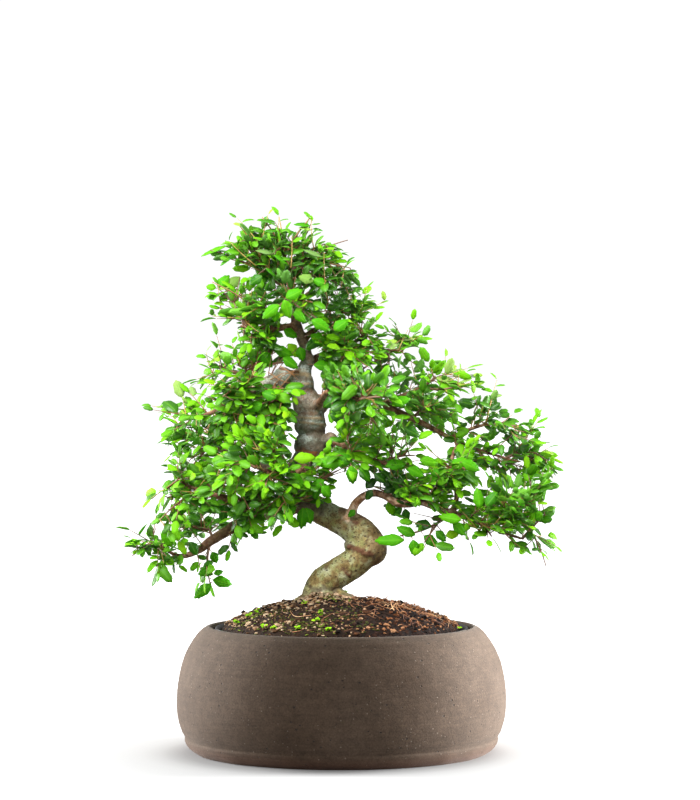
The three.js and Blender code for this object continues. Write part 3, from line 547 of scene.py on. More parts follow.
def stoneware_material():
    material, tree = new_material("stoneware")
    here = own_place(tree)
    turned = own_place(tree, (0.035, 0.035, 0.6))
    clouds = grain(tree, here, 0.022, 4, 0.55)
    base = ramp(tree, clouds, (0.3, (0.105, 0.067, 0.043)), (0.7, (0.149, 0.102, 0.071)))
    rings = grain(tree, turned, 1.0, 3, 0.6)
    base = blend(tree, 0.30, base, ramp(tree, rings, (0.35, 0.5), (0.65, 1.0)), "MULTIPLY")
    fine = grain(tree, here, 0.85, 3, 0.75)
    base = blend(tree, 0.75, base, ramp(tree, fine, (0.32, 0.55), (0.5, 0.9), (0.68, 1.25)), "MULTIPLY")
    blotch = grain(tree, here, 0.16, 4, 0.6)
    base = blend(tree, 0.5, base, ramp(tree, blotch, (0.36, 0.72), (0.64, 1.2)), "MULTIPLY")
    # Sand that shows as pale grains, and pits where it has come away.
    off, grey = cells(tree, here, 0.36)
    size = sums(tree, "MULTIPLY", sums(tree, "SUBTRACT", grey, 0.42), 0.29)
    speck = ramp(tree, sums(tree, "SUBTRACT", off, size), (0.0, 1.0), (0.03, 0.0))
    base = blend(tree, sums(tree, "MULTIPLY", speck, 0.42), base, (0.40, 0.32, 0.25))
    off, grey = cells(tree, own_place(tree, (1, 1, 1.3)), 0.17, channel=1)
    pit_size = sums(tree, "MULTIPLY", grey, 0.13)
    pit = ramp(tree, sums(tree, "SUBTRACT", off, pit_size), (0.0, 1.0), (0.04, 0.0))
    base = blend(tree, sums(tree, "MULTIPLY", pit, 0.75), base, (0.04, 0.03, 0.025))
    # Painted bounce light: the foot is lighter and redder, partly its own redder clay and partly painted
    # light thrown up from the floor.
    up = node(tree, "SeparateXYZ", {"Vector": here}).outputs["Z"]
    edge = sums(tree, "ADD", up, sums(tree, "MULTIPLY", grain(tree, here, 0.05), 4))
    foot = ramp(tree, sums(tree, "DIVIDE", edge, 30), (0.0, 1.0), (0.35, 0.0))
    base = blend(tree, sums(tree, "MULTIPLY", foot, 0.7), base, (0.21, 0.095, 0.060))
    height = sums(tree, "ADD", sums(tree, "MULTIPLY", rings, 0.22), sums(tree, "MULTIPLY", fine, 0.4))
    height = sums(tree, "ADD", height, sums(tree, "MULTIPLY", speck, 0.25))
    height = sums(tree, "SUBTRACT", height, sums(tree, "MULTIPLY", pit, 0.9))
    shader = node(tree, "BsdfPrincipled", {
        "Base Color": base, "Roughness": 0.85, "Specular IOR Level": 0.22, "Sheen Weight": 0.12,
        "Sheen Roughness": 0.5, "Sheen Tint": (1.0, 0.93, 0.86, 1),
        "Normal": relief(tree, height, 0.5, 0.9)})
    finish_surface(tree, shader.outputs[0])
    return material


def grow_pot_material():
    material, tree = new_material("black_plastic")
    here = own_place(tree)
    dust = grain(tree, here, 0.12, 4, 0.7)
    base = ramp(tree, dust, (0.45, (0.006, 0.006, 0.006)), (0.75, (0.035, 0.028, 0.022)))
    shader = node(tree, "BsdfPrincipled", {
        "Base Color": base, "Roughness": 0.48, "Normal": relief(tree, grain(tree, here, 1.1), 0.08, 0.6)})
    finish_surface(tree, shader.outputs[0])
    return material


def soil_material():
    """Dry peaty soil. Each crumb has its own tone, from almost black through red-brown to tan."""
    material, tree = new_material("soil")
    here = own_place(tree)
    tone = own_attribute(tree, "tone")
    lumps = grain(tree, here, 0.30, 5, 0.65)
    mixed = sums(tree, "ADD", sums(tree, "MULTIPLY", tone, 0.62), sums(tree, "MULTIPLY", lumps, 0.55))
    base = ramp(tree, mixed, (0.30, (0.008, 0.004, 0.002)), (0.44, (0.028, 0.013, 0.006)),
                (0.58, (0.090, 0.043, 0.019)), (0.74, (0.22, 0.120, 0.056)), (0.92, (0.48, 0.35, 0.22)))
    across = node(tree, "SeparateXYZ", {"Vector": here}).outputs["X"]
    side = sums(tree, "ADD", sums(tree, "DIVIDE", across, 80), grain(tree, here, 0.04, 3))
    red = ramp(tree, mixed, (0.34, (0.005, 0.002, 0.001)), (0.5, (0.055, 0.015, 0.004)),
               (0.68, (0.27, 0.085, 0.026)), (0.85, (0.46, 0.20, 0.085)))
    base = blend(tree, ramp(tree, side, (0.35, 0.0), (0.9, 0.85)), base, red)
    fine = grain(tree, here, 1.6, 4, 0.7)
    base = blend(tree, 0.8, base, ramp(tree, fine, (0.36, 0.26), (0.62, 1.0)), "MULTIPLY")
    base = blend(tree, 1.0, base, ramp(tree, side, (0.35, 1.0), (0.8, 0.8)), "MULTIPLY")
    height = sums(tree, "ADD", lumps, sums(tree, "MULTIPLY", fine, 0.8))
    shader = node(tree, "BsdfPrincipled", {
        "Base Color": base, "Roughness": 0.95, "Specular IOR Level": 0.15,
        "Normal": relief(tree, height, 1.2, 1.0)})
    finish_surface(tree, shader.outputs[0])
    return material


def moss_material():
    material, tree = new_material("moss")
    here = own_place(tree)
    tone = own_attribute(tree, "tone")
    mixed = sums(tree, "MULTIPLY", sums(tree, "ADD", tone, grain(tree, here, 0.5, 4, 0.6)), 0.5)
    base = ramp(tree, mixed, (0.2, (0.016, 0.018, 0.004)), (0.5, (0.062, 0.074, 0.011)),
                (0.75, (0.19, 0.26, 0.022)))
    shader = node(tree, "BsdfPrincipled", {
        "Base Color": base, "Roughness": 0.95, "Specular IOR Level": 0.15,
        "Normal": relief(tree, grain(tree, here, 2.2, 4, 0.7), 0.7)})
    finish_surface(tree, shader.outputs[0])
    return material


def straw_material():
    material, tree = new_material("dry_roots")
    here = own_place(tree)
    base = ramp(tree, grain(tree, here, 0.08, 3), (0.38, (0.09, 0.028, 0.010)), (0.52, (0.26, 0.105, 0.038)),
                (0.68, (0.50, 0.31, 0.15)))
    shader = node(tree, "BsdfPrincipled", {
        "Base Color": base, "Roughness": 0.8, "Normal": relief(tree, grain(tree, here, 2.5), 0.2)})
    finish_surface(tree, shader.outputs[0])
    return material


def bark_material():
    """Smooth grey-brown elm bark. The trunk's own attributes say where it is scarred, ringed or rough."""
    material, tree = new_material("bark")
    here = own_place(tree)
    mark = {name: own_attribute(tree, name)
            for name in ("scar", "ring", "rough", "orange", "pale", "brown", "thin", "low")}
    patches = grain(tree, here, 0.11, 5, 0.62)
    olive = ramp(tree, patches, (0.32, (0.12, 0.070, 0.020)), (0.44, (0.32, 0.225, 0.075)),
                 (0.54, (0.44, 0.43, 0.20)), (0.66, (0.64, 0.65, 0.42)))
    grey = ramp(tree, patches, (0.34, (0.085, 0.078, 0.050)), (0.45, (0.24, 0.262, 0.20)),
                (0.57, (0.36, 0.405, 0.345)), (0.68, (0.44, 0.485, 0.43)))
    flakes = ramp(tree, grain(tree, here, 0.8, 5, 0.75), (0.38, 0.45), (0.5, 0.9), (0.62, 1.2))
    grey = blend(tree, 1.0, grey, flakes, "MULTIPLY")
    # The wood in the crown is darker.
    up = node(tree, "SeparateXYZ", {"Vector": here}).outputs["Z"]
    darker = ramp(tree, sums(tree, "DIVIDE", up, 400), (0.665, 1.0), (0.70, 0.55))
    grey = blend(tree, 1.0, grey, darker, "MULTIPLY")
    base = blend(tree, mark["low"], grey, olive)
    lichen = ramp(tree, grain(tree, here, 0.19, 4, 0.6), (0.50, 0.0), (0.62, 0.6))
    base = blend(tree, sums(tree, "MULTIPLY", lichen, mark["low"]), base, (0.36, 0.40, 0.13))
    brown = ramp(tree, grain(tree, here, 0.16, 4, 0.7), (0.54, 0.0), (0.64, 0.85))
    brown = sums(tree, "MULTIPLY", brown, sums(tree, "ADD", sums(tree, "MULTIPLY", mark["low"], 0.6), 0.4))
    base = blend(tree, brown, base, (0.13, 0.062, 0.026))
    base = blend(tree, sums(tree, "MULTIPLY", mark["brown"], 0.85), base,
                 ramp(tree, patches, (0.40, (0.10, 0.050, 0.016)), (0.58, (0.26, 0.155, 0.055))))
    fine = grain(tree, here, 1.3, 5, 0.7)
    base = blend(tree, 0.55, base, ramp(tree, fine, (0.3, 0.45), (0.65, 1.0)), "MULTIPLY")
    # Lenticels: small dark pores, some in short rows across the stem.
    off, grain_grey = cells(tree, own_place(tree, (0.75, 0.75, 1.2)), 0.42)
    size = sums(tree, "MULTIPLY", grain_grey, 0.26)
    pore = ramp(tree, sums(tree, "SUBTRACT", off, size), (0.0, 1.0), (0.06, 0.0))
    base = blend(tree, sums(tree, "MULTIPLY", pore, 0.8), base, (0.030, 0.018, 0.010))
    speckle = ramp(tree, grain(tree, here, 0.55, 4, 0.75), (0.54, 0.0), (0.61, 0.8))
    base = blend(tree, speckle, base, (0.085, 0.052, 0.022))
    base = blend(tree, sums(tree, "MULTIPLY", mark["rough"], 0.75), base,
                 blend(tree, patches, (0.030, 0.020, 0.012), (0.13, 0.095, 0.055)))
    for name, share, dark, light in (
        ("ring", 0.85, (0.05, 0.032, 0.016), (0.42, 0.30, 0.15)),
        ("scar", 1.0, (0.04, 0.015, 0.008), (0.24, 0.105, 0.045)),
        ("orange", 0.85, (0.20, 0.035, 0.008), (0.60, 0.16, 0.03)),
    ):
        base = blend(tree, sums(tree, "MULTIPLY", mark[name], share), base, blend(tree, fine, dark, light))
    # Young limbs are redder and darker than the trunk, and peeling bark is pale.
    young = ramp(tree, grain(tree, here, 0.26, 4, 0.65), (0.36, (0.085, 0.032, 0.015)),
                 (0.50, (0.20, 0.095, 0.045)), (0.62, (0.33, 0.20, 0.12)))
    base = blend(tree, mark["thin"], base, young)
    peeling = ramp(tree, grain(tree, here, 0.3, 4, 0.65), (0.36, (0.32, 0.13, 0.055)),
                   (0.50, (0.66, 0.39, 0.22)), (0.62, (0.86, 0.68, 0.50)))
    base = blend(tree, mark["pale"], base, peeling)
    height = sums(tree, "ADD", patches, sums(tree, "MULTIPLY", fine, 0.4))
    height = sums(tree, "SUBTRACT", height, sums(tree, "MULTIPLY", pore, 0.5))
    shader = node(tree, "BsdfPrincipled", {
        "Base Color": base, "Roughness": 0.7, "Specular IOR Level": 0.35,
        "Normal": relief(tree, height, 0.7, 0.9)})
    finish_surface(tree, shader.outputs[0])
    return material


# Greens by tone. Low tones are partly painted shade, and the pale grey-green at the top is painted light
# through backlit leaves.
FINE_GREENS = [
    (0.0, (0.008, 0.048, 0.006)), (0.2, (0.049, 0.188, 0.006)), (0.4, (0.130, 0.400, 0.006)),
    (0.6, (0.155, 0.42, 0.004)), (0.8, (0.30, 0.50, 0.012)), (1.0, (0.20, 0.30, 0.10)),
]
OPEN_GREENS = [
    (0.0, (0.008, 0.040, 0.004)), (0.2, (0.018, 0.105, 0.002)), (0.4, (0.036, 0.205, 0.002)),
    (0.56, (0.055, 0.275, 0.002)), (0.72, (0.13, 0.37, 0.003)), (0.86, (0.22, 0.40, 0.006)),
    (1.0, (0.11, 0.20, 0.06)),
]


def leaf_material(name, greens, lit_through):
    """Elm leaves: young ones bright yellow-green, old ones deep green, with side veins and a paler back.

    A leaf's own map runs from its root to its tip and from edge to edge.
    """
    material, tree = new_material(name)
    tone = own_attribute(tree, "tone")
    back = own_attribute(tree, "back")
    # The tone is partly the leaf's age and partly painted shade and painted light from where it lies in the
    # crown.
    shade = sums(tree, "MULTIPLY", tone, 0.8)
    base = ramp(tree, shade, *greens)
    flat = node(tree, "SeparateXYZ", {"Vector": node(tree, "UVMap", uv_map="leaf").outputs["UV"]})
    along = flat.outputs["X"]
    aside = sums(tree, "SUBTRACT", flat.outputs["Y"], 0.5)
    across = node(tree, "Math", {0: aside}, operation="ABSOLUTE").outputs[0]
    slant = sums(tree, "SUBTRACT", along, sums(tree, "MULTIPLY", across, 0.75))
    wave = node(tree, "Math", {0: sums(tree, "MULTIPLY", slant, 44)}, operation="SINE").outputs[0]
    vein = ramp(tree, wave, (0.80, 0.0), (0.98, 1.0))
    rib = ramp(tree, across, (0.012, 1.0), (0.035, 0.0))
    veins = sums(tree, "MAXIMUM", sums(tree, "MULTIPLY", vein, 0.5), rib)
    here = own_place(tree)
    mottle = grain(tree, here, 0.35, 3, 0.6)
    base = blend(tree, 0.3, base, ramp(tree, mottle, (0.35, 0.7), (0.65, 1.0)), "MULTIPLY")
    base = blend(tree, sums(tree, "MULTIPLY", veins, 0.22), base, (0.20, 0.50, 0.012))
    base = blend(tree, sums(tree, "MULTIPLY", back, 0.45), base, (0.15, 0.34, 0.07))
    normal = relief(tree, sums(tree, "SUBTRACT", 1.0, veins), 0.12, 0.7)
    shader = node(tree, "BsdfPrincipled", {
        "Base Color": base, "Roughness": ramp(tree, tone, (0.1, 0.30), (0.5, 0.55)),
        "Specular IOR Level": ramp(tree, tone, (0.1, 0.40), (0.5, 0.10)), "Normal": normal})
    through = node(tree, "BsdfTranslucent", {
        "Color": blend(tree, 0.4, base, lit_through), "Normal": normal})
    both = node(tree, "MixShader", {0: 0.36, 1: shader.outputs[0], 2: through.outputs[0]})
    finish_surface(tree, both.outputs[0])
    return material


def shoot_material():
    """Young wood: reddish brown where it is older, yellow-green towards the tips."""
    material, tree = new_material("young_wood")
    tone = own_attribute(tree, "tone")
    here = own_place(tree)
    base = ramp(tree, tone, (0.0, (0.09, 0.042, 0.022)), (0.4, (0.20, 0.090, 0.026)),
                (0.62, (0.29, 0.185, 0.035)), (1.0, (0.34, 0.34, 0.05)))
    fine = ramp(tree, grain(tree, here, 0.9, 3), (0.35, 0.5), (0.65, 1.0))
    base = blend(tree, 0.4, base, fine, "MULTIPLY")
    shader = node(tree, "BsdfPrincipled", {
        "Base Color": base, "Roughness": 0.55, "Normal": relief(tree, grain(tree, here, 1.6), 0.1)})
    finish_surface(tree, shader.outputs[0])
    return material


def floor_material():
    """A pale floor that fades into the white backdrop, with a painted shadow round the pot's foot and a
    painted glow further off.
    """
    material, tree = new_material("studio_floor")
    here = own_place(tree, (0.001, 0.001, 0))
    shifted = node(tree, "VectorMath", {0: here, 1: (0.004, 0.012, 0)}, operation="ADD").outputs["Vector"]
    away = node(tree, "VectorMath", {0: shifted}, operation="LENGTH").outputs["Value"]
    # Painted light: for the camera the floor glows, dimly by the pot and fully white far from it.
    painted_glow = ramp(tree, away, (0.11, 0.12), (0.2, 0.4), (0.5, 0.8), (0.9, 1.0))
    seen = node(tree, "LightPath").outputs["Is Camera Ray"]
    # Painted shadow: for the camera the floor is darker close round the pot's foot, most in front of it.
    pale = ramp(tree, sums(tree, "ADD", away, sums(tree, "MULTIPLY", grain(tree, here, 3.0, 2), 0.004)),
                (0.100, 0.34), (0.108, 0.46), (0.118, 0.60), (0.130, 0.66))
    shader = node(tree, "BsdfDiffuse", {"Color": blend(tree, seen, (0.33, 0.33, 0.33), pale)})
    shine = node(tree, "Emission", {"Color": painted_glow, "Strength": sums(tree, "MULTIPLY", seen, 1.0)})
    finish_surface(tree, node(tree, "AddShader", {0: shader.outputs[0], 1: shine.outputs[0]}).outputs[0])
    return material


# Studio.

def studio():
    """The floor, the backdrop and the lamps. Gives back what each group of lamps lights."""
    bm = bmesh.new()
    bmesh.ops.create_grid(bm, x_segments=1, y_segments=1, size=60)
    mesh = bpy.data.meshes.new("studio_floor")
    bm.to_mesh(mesh)
    bm.free()
    mesh.materials.append(floor_material())
    floor = bpy.data.objects.new("studio_floor", mesh)
    bpy.context.scene.collection.objects.link(floor)

    # The backdrop is white. The room's own light is dimmer than it, so that the lamps give form.
    world = bpy.data.worlds.new("studio")
    world.use_nodes = True
    tree = world.node_tree
    tree.nodes.clear()
    seen = node(tree, "LightPath").outputs["Is Camera Ray"]
    room_light = node(tree, "Background", {"Color": (1, 1, 1, 1), "Strength": 0.55})
    backdrop = node(tree, "Background", {"Color": (1, 1, 1, 1), "Strength": 1.05})
    node(tree, "OutputWorld", {"Surface": node(tree, "MixShader", {
        0: seen, 1: room_light.outputs[0], 2: backdrop.outputs[0]}).outputs[0]})
    bpy.context.scene.world = world
    bpy.context.scene.view_settings.view_transform = "Standard"

    target = Vector((0, 0, 0.15))
    groups = ("side_lamps", "tree_softbox", "front_fill")
    lit = {name: bpy.data.collections.new("lit_by_the_" + name) for name in groups}
    lit["side_lamps"].objects.link(floor)
    for name, at, size, power in (
        ("left_softbox", (-1.38, 0.62, 0.41), 0.8, 60),
        ("right_softbox", (1.50, 0.45, 0.20), 0.8, 142),
        ("tree_softbox", (-0.55, -0.8, 1.4), 1.2, 108),
        ("front_fill", (0.1, -1.7, 0.45), 1.4, 27),
    ):
        lamp = bpy.data.lights.new(name, "AREA")
        lamp.shape = "SQUARE"
        lamp.size = size
        lamp.energy = power
        light = bpy.data.objects.new(name, lamp)
        light.location = at
        light.rotation_euler = (target - Vector(at)).to_track_quat("-Z", "Y").to_euler()
        bpy.context.scene.collection.objects.link(light)
        light.light_linking.receiver_collection = lit.get(name, lit["side_lamps"])
    return lit


# Curves through listed points.

def along_rows(rows, share):
    """The smooth line through rows of numbers, at that share of its rows."""
    p = np.asarray(rows, float)
    last = len(p) - 1
    at = min(max(share, 0), 1) * last
    k = min(int(at), last - 1)
    w = at - k
    before = p[k - 1] if k > 0 else 2 * p[0] - p[1]
    after = p[k + 2] if k + 2 <= last else 2 * p[last] - p[last - 1]
    a, b = p[k], p[k + 1]
    pull_a = (b - before) / 2
    pull_b = (after - a) / 2
    cubic = 2 * a - 2 * b + pull_a + pull_b
    square = 3 * b - 3 * a - 2 * pull_a - pull_b
    return cubic * w**3 + square * w**2 + pull_a * w + a


def route(rows, depth=1.0):
    """Rows of x, y, z and radius in mm from rows on the front sheet."""
    return np.array([[*place(right, down, deep * depth), radius] for right, down, deep, radius in rows])


# Pot.

POT_OUTSIDE = [
    (98, 0), (101.4, 2.4), (103.7, 5.2), (104.7, 8.0), (104.5, 9.8), (105.4, 11.8), (107.0, 14.8),
    (109.1, 22), (110, 31), (109.4, 44), (106.6, 58.5), (102.2, 69), (96.4, 77.6), (92.4, 81.4),
    (89.2, 83), (86.6, 82.4), (85.4, 80.6),
]
POT_INSIDE = [(88, 76), (98.5, 56), (102, 30), (88, 8), (0, 8)]
POT_RINGS = 108
POT_TURNS = 168
# The pot's inside, within this radius, and its flat base stay true. The rest wavers as thrown clay does.
TRUE_INSIDE = 84
TRUE_BASE = 97
WAVY_FOOT = 12
GROW_POT_WALL = [
    (0, 8.3), (67, 8.3), (83.2, 78), (84.3, 78.9), (84.5, 80), (84.4, 82.0), (83.9, 82.4), (83.2, 82.1),
    (82.3, 79), (65.8, 9.8), (0, 9.8),
]
GROW_POT_TURNS = 120


def turned_body(profile, steps):
    """A closed body turned about Z from its radius and height in mm at each point of the profile."""
    bm = bmesh.new()
    points = [bm.verts.new((r, 0, z)) for r, z in profile]
    edges = [bm.edges.new(pair) for pair in zip(points, points[1:])]
    bmesh.ops.spin(bm, geom=points + edges, cent=(0, 0, 0), axis=(0, 0, 1), angle=2 * math.pi,
                   steps=steps, use_merge=True)
    bmesh.ops.remove_doubles(bm, verts=bm.verts, dist=0.001)
    return bm


def stoneware_pot():
    outside = [along_rows(POT_OUTSIDE, k / POT_RINGS) for k in range(POT_RINGS + 1)]
    bm = turned_body([(0, 0), (60, 0)] + outside + POT_INSIDE, POT_TURNS)
    # Throwing lines, a body that is not quite round, and a foot whose edge wavers.
    for v in bm.verts:
        r = math.hypot(v.co.x, v.co.y)
        if r < TRUE_INSIDE or v.co.z < 0.01 and r < TRUE_BASE:
            continue
        turn = math.atan2(v.co.y, v.co.x)
        line = noise.noise(Vector((math.cos(turn) * 0.8, math.sin(turn) * 0.8, v.co.z * 0.75)))
        body = noise.noise(Vector((v.co.x * 0.018, v.co.y * 0.018, v.co.z * 0.03 + 7)))
        grow = 0.13 * line + 0.35 * body
        if v.co.z < WAVY_FOOT:
            wave = noise.noise(Vector((v.co.x * 0.05, v.co.y * 0.05, 3.0)))
            grow += (1 - v.co.z / WAVY_FOOT) * 0.9 * wave
        v.co.x *= 1 + grow / r
        v.co.y *= 1 + grow / r
    bmesh.ops.recalc_face_normals(bm, faces=bm.faces)
    made = piece("stoneware_pot", bm, [stoneware_material()])
    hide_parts("pot")
    return made


def grow_pot_rim():
    bm = turned_body(GROW_POT_WALL, GROW_POT_TURNS)
    bmesh.ops.recalc_face_normals(bm, faces=bm.faces)
    made = piece("plastic_grow_pot", bm, [grow_pot_material()])
    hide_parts("grow_pot")
    return made


# Soil, moss, dry roots and seedlings.

MOUND = [(81.6, 79.6), (77, 86), (66, 91), (52, 96.2), (37, 99.8), (20, 101.9), (0, SOIL_TOP)]
SOIL_UNDERSIDE = [(74, 45), (65.4, 10.1), (0, 10.1)]
SOIL_RINGS = 88
SOIL_TURNS = 300
FLAT_TOP = 100
# Where the trunk's foot stands in the soil, and where its roots crown it with crumbs.
FOOT_X = -13
FOOT_Y = -5
ROOT_CROWN_Y = -14
# How far from the middle crumbs and dry roots may reach, and how widely roots and fibres are strewn.
CRUMB_REACH = 79.5
ROOT_REACH = 79
ROOT_SPREAD = 76
FIBRE_SPREAD = 77
SOIL_SEED = 31
CRUMBS = 2200
ROOT_CROWN_CRUMBS = 170
DRY_ROOTS = 66
FIBRES = 170
# Thin stalks that stand up from the soil, as places on the sheet.
STALKS = [
    [(404, 608), (411, 593)], [(411, 593), (416, 607)], [(436, 622), (438, 604)],
    [(448, 628), (452, 606)], [(427, 618), (424, 604)], [(398, 604), (394, 596)],
    [(372, 602), (376, 594)], [(232, 616), (228, 606)],
]
# Seedlings: the foot on the sheet, and the height in mm.
SEEDLINGS = [
    (322, 617, 5), (318, 622, 3), (256, 615, 5), (249, 618, 3), (265, 629, 2.5), (272, 630, 2),
    (297, 630, 2), (329, 631, 2), (346, 595, 3), (459, 630, 2), (306, 604, 1.5), (236, 624, 2),
]
# Moss: where on the sheet, how many tufts, how widely spread in mm, and how bright.
MOSS_BEDS = [
    (270, 625, 76, 7, 0.5), (300, 624, 119, 8, 0.45), (322, 626, 119, 6, 0.7), (278, 612, 51, 6, 0.5),
    (345, 612, 85, 7, 0.4), (334, 598, 85, 5, 0.8), (346, 594, 51, 3, 0.9), (256, 616, 51, 3, 1.0),
    (362, 626, 51, 5, 0.4), (240, 626, 51, 4, 0.7),
]
# The order of the planted soil's materials.
PEAT, MOSS, STRAW, SPRIG_LEAF = range(4)


def mound_height(x, y):
    """Height of the soil there, crumbs apart. It swells and sinks, and rises round the trunk's foot."""
    r = math.hypot(x, y)
    heights = [z for _, z in reversed(MOUND)]
    reach = [q for q, _ in reversed(MOUND)]
    z = float(np.interp(r, reach, heights)) - 1.3
    swell = 1.6 * noise.noise(Vector((x * 0.035, y * 0.035, 1.3)))
    swell += 1.2 * noise.noise(Vector((x * 0.11, y * 0.11, 5)))
    collar = 4.6 * math.exp(-((x - FOOT_X) ** 2 + (y - FOOT_Y) ** 2) / (2 * 15**2))
    return z + collar + swell * min(1.0, (SOIL_RADIUS - r) / 12)


def crumbly(x, y):
    """Crumbs raised from the soil, in mm."""
    near = noise.voronoi(Vector((x * 0.30, y * 0.30, 0.0)))[0][0]
    fine = noise.voronoi(Vector((x * 0.75, y * 0.75, 4.0)))[0][0]
    return 1.5 * (0.45 - near) + 0.7 * (0.4 - fine)


def soil_mound():
    """The mound as one closed turned body. Its top is turned flat, then raised, with crumbs on it."""
    top = [(SOIL_RADIUS * k / SOIL_RINGS, FLAT_TOP) for k in range(SOIL_RINGS + 1)]
    bm = turned_body(top + SOIL_UNDERSIDE, SOIL_TURNS)
    for v in bm.verts:
        if v.co.z < FLAT_TOP - 1:
            continue
        v.co.z = mound_height(v.co.x, v.co.y)
        if math.hypot(v.co.x, v.co.y) < SOIL_RADIUS - 1:
            v.co.z += crumbly(v.co.x, v.co.y)
    bmesh.ops.recalc_face_normals(bm, faces=bm.faces)
    return bm


def add_copy(bm, shape, matrix, tone):
    """Adds the mesh shape to bm at matrix, with one tone for all its points."""
    copy = shape.copy()
    copy.transform(matrix)
    copy.attributes["tone"].data.foreach_set("value", [tone] * len(copy.vertices))
    bm.from_mesh(copy)
    bpy.data.meshes.remove(copy)


def shape_mesh(name, bm, material=0):
    """A shape to copy: it carries the same layers as the pieces that it goes into."""
    bm.verts.layers.float.new("tone")
    if "back" not in bm.verts.layers.float:
        bm.verts.layers.float.new("back")
    if "leaf" not in bm.loops.layers.uv:
        bm.loops.layers.uv.new("leaf")
    for face in bm.faces:
        face.material_index = material
    mesh = bpy.data.meshes.new(name)
    bm.to_mesh(mesh)
    bm.free()
    return mesh


def turn_to(ahead, up):
    """A turn that takes X ahead, with Z as near up as that allows."""
    x = Vector(ahead).normalized()
    z = (Vector(up) - x * Vector(up).dot(x)).normalized()
    y = z.cross(x)
    return Matrix((x, y, z)).transposed().to_4x4()


def crumb_shapes(name, material, rng):
    """A few angular lumps a millimetre across."""
    shapes = []
    for k in range(5):
        bm = bmesh.new()
        bmesh.ops.create_icosphere(bm, subdivisions=1, radius=0.5)
        for v in bm.verts:
            v.co *= rng.uniform(0.6, 1.3)
        bmesh.ops.scale(bm, vec=(1.45, 0.9, 0.7), verts=bm.verts)
        shapes.append(shape_mesh(f"{name}_{k}", bm, material))
    return shapes


def tube_mesh(lines, sides=5, material=0):
    """Closed tapered tubes along lines, each a list of (x, y, z, radius) in mm, as one mesh in mm."""
    curve = bpy.data.curves.new("tubes", "CURVE")
    curve.dimensions = "3D"
    curve.bevel_mode = "ROUND"
    curve.bevel_depth = 1.0
    curve.bevel_resolution = max(0, (sides - 4) // 2)
    curve.use_fill_caps = True
    for line in lines:
        spline = curve.splines.new("POLY")
        spline.points.add(len(line) - 1)
        for point, (x, y, z, radius) in zip(spline.points, line):
            point.co = (x, y, z, 1)
            point.radius = radius
    holder = bpy.data.objects.new("tubes", curve)
    mesh = bpy.data.meshes.new_from_object(holder)
    bpy.data.objects.remove(holder)
    bpy.data.curves.remove(curve)
    bm = bmesh.new()
    bm.from_mesh(mesh)
    bpy.data.meshes.remove(mesh)
    bmesh.ops.remove_doubles(bm, verts=bm.verts, dist=1e-4)
    bmesh.ops.recalc_face_normals(bm, faces=bm.faces)
    return shape_mesh("tubes", bm, material)


def looped_root(rng, number):
    """A dry root or straw that arches over the soil. Two of each three lie on the right."""
    if number % 3:
        x = rng.uniform(18, 74)
        y = rng.uniform(-0.9, 0.5) * math.sqrt(max(0, ROOT_SPREAD**2 - x * x))
    else:
        r = ROOT_SPREAD * math.sqrt(rng.random())
        turn = rng.uniform(0, 2 * math.pi)
        x, y = r * math.cos(turn), r * math.sin(turn)
    turn = rng.uniform(0, 2 * math.pi)
    length = rng.uniform(6, 24)
    arch = rng.uniform(0.2, 4.5)
    thick = rng.uniform(0.10, 0.30)
    bend = rng.uniform(-1.5, 1.5)
    line = []
    for j in range(9):
        t = j / 8
        turn_here = turn + bend * t
        px = x + (t - 0.5) * length * math.cos(turn_here)
        py = y + (t - 0.5) * length * math.sin(turn_here)
        if math.hypot(px, py) > ROOT_REACH:
            continue
        loop = arch * math.sin(math.pi * t) * (0.6 + 0.4 * math.sin(7 * t + number))
        line.append((px, py, mound_height(px, py) + loop + 0.3, thick * (1 - 0.5 * t)))
    return line if len(line) > 3 else []


def flat_fibre(rng):
    """A short fibre that lies flat on the peat, unless it would reach past its edge."""
    r = FIBRE_SPREAD * math.sqrt(rng.random())
    turn = rng.uniform(0, 2 * math.pi)
    way = rng.uniform(0, math.pi)
    half = rng.uniform(1.2, 4)
    x, y = r * math.cos(turn), r * math.sin(turn)
    if math.hypot(x, y) + half > ROOT_REACH:
        return []
    line = []
    for j in (-1, 0, 1):
        px, py = x + j * half * math.cos(way), y + j * half * math.sin(way)
        line.append((px, py, mound_height(px, py) + rng.uniform(0.4, 1.2), rng.uniform(0.08, 0.18)))
    return line


def dry_roots(rng):
    """Dry roots, straw and fibres that lie on the soil, and the thin stalks that stand up from it."""
    lines = [looped_root(rng, k) for k in range(DRY_ROOTS)]
    lines += [flat_fibre(rng) for k in range(FIBRES)]
    for foot, tip in STALKS:
        deep = float(on_mound(foot[0], foot[1] + 2)[1])
        lines.append([(*place(*foot, deep), 0.16), (*place(*tip, deep), 0.08)])
    return tube_mesh([line for line in lines if line], 5, STRAW)


def on_mound(right, down):
    """The point of the soil's surface that the sheet shows there."""
    deep = -80.0
    for _ in range(60):
        point = place(right, down, deep)
        if point[2] < mound_height(point[0], point[1]):
            break
        deep += 1.5
    return point


def scatter(bm, shapes, rng, x, y, size, tone, flat=1.0):
    """Lays one of the shapes on the soil there, turned and tilted at random, unless it would lie off it."""
    if math.hypot(x, y) > CRUMB_REACH - size * 0.4:
        return
    z = mound_height(x, y) + crumbly(x, y) + 0.12 * size
    matrix = Matrix.Translation((x, y, z)) @ Matrix.Rotation(rng.uniform(0, 6.3), 4, "Z")
    matrix @= Matrix.Rotation(rng.uniform(-0.7, 0.7), 4, "X") @ Matrix.Diagonal((size, size, size * flat, 1))
    add_copy(bm, rng.choice(shapes), matrix, tone)


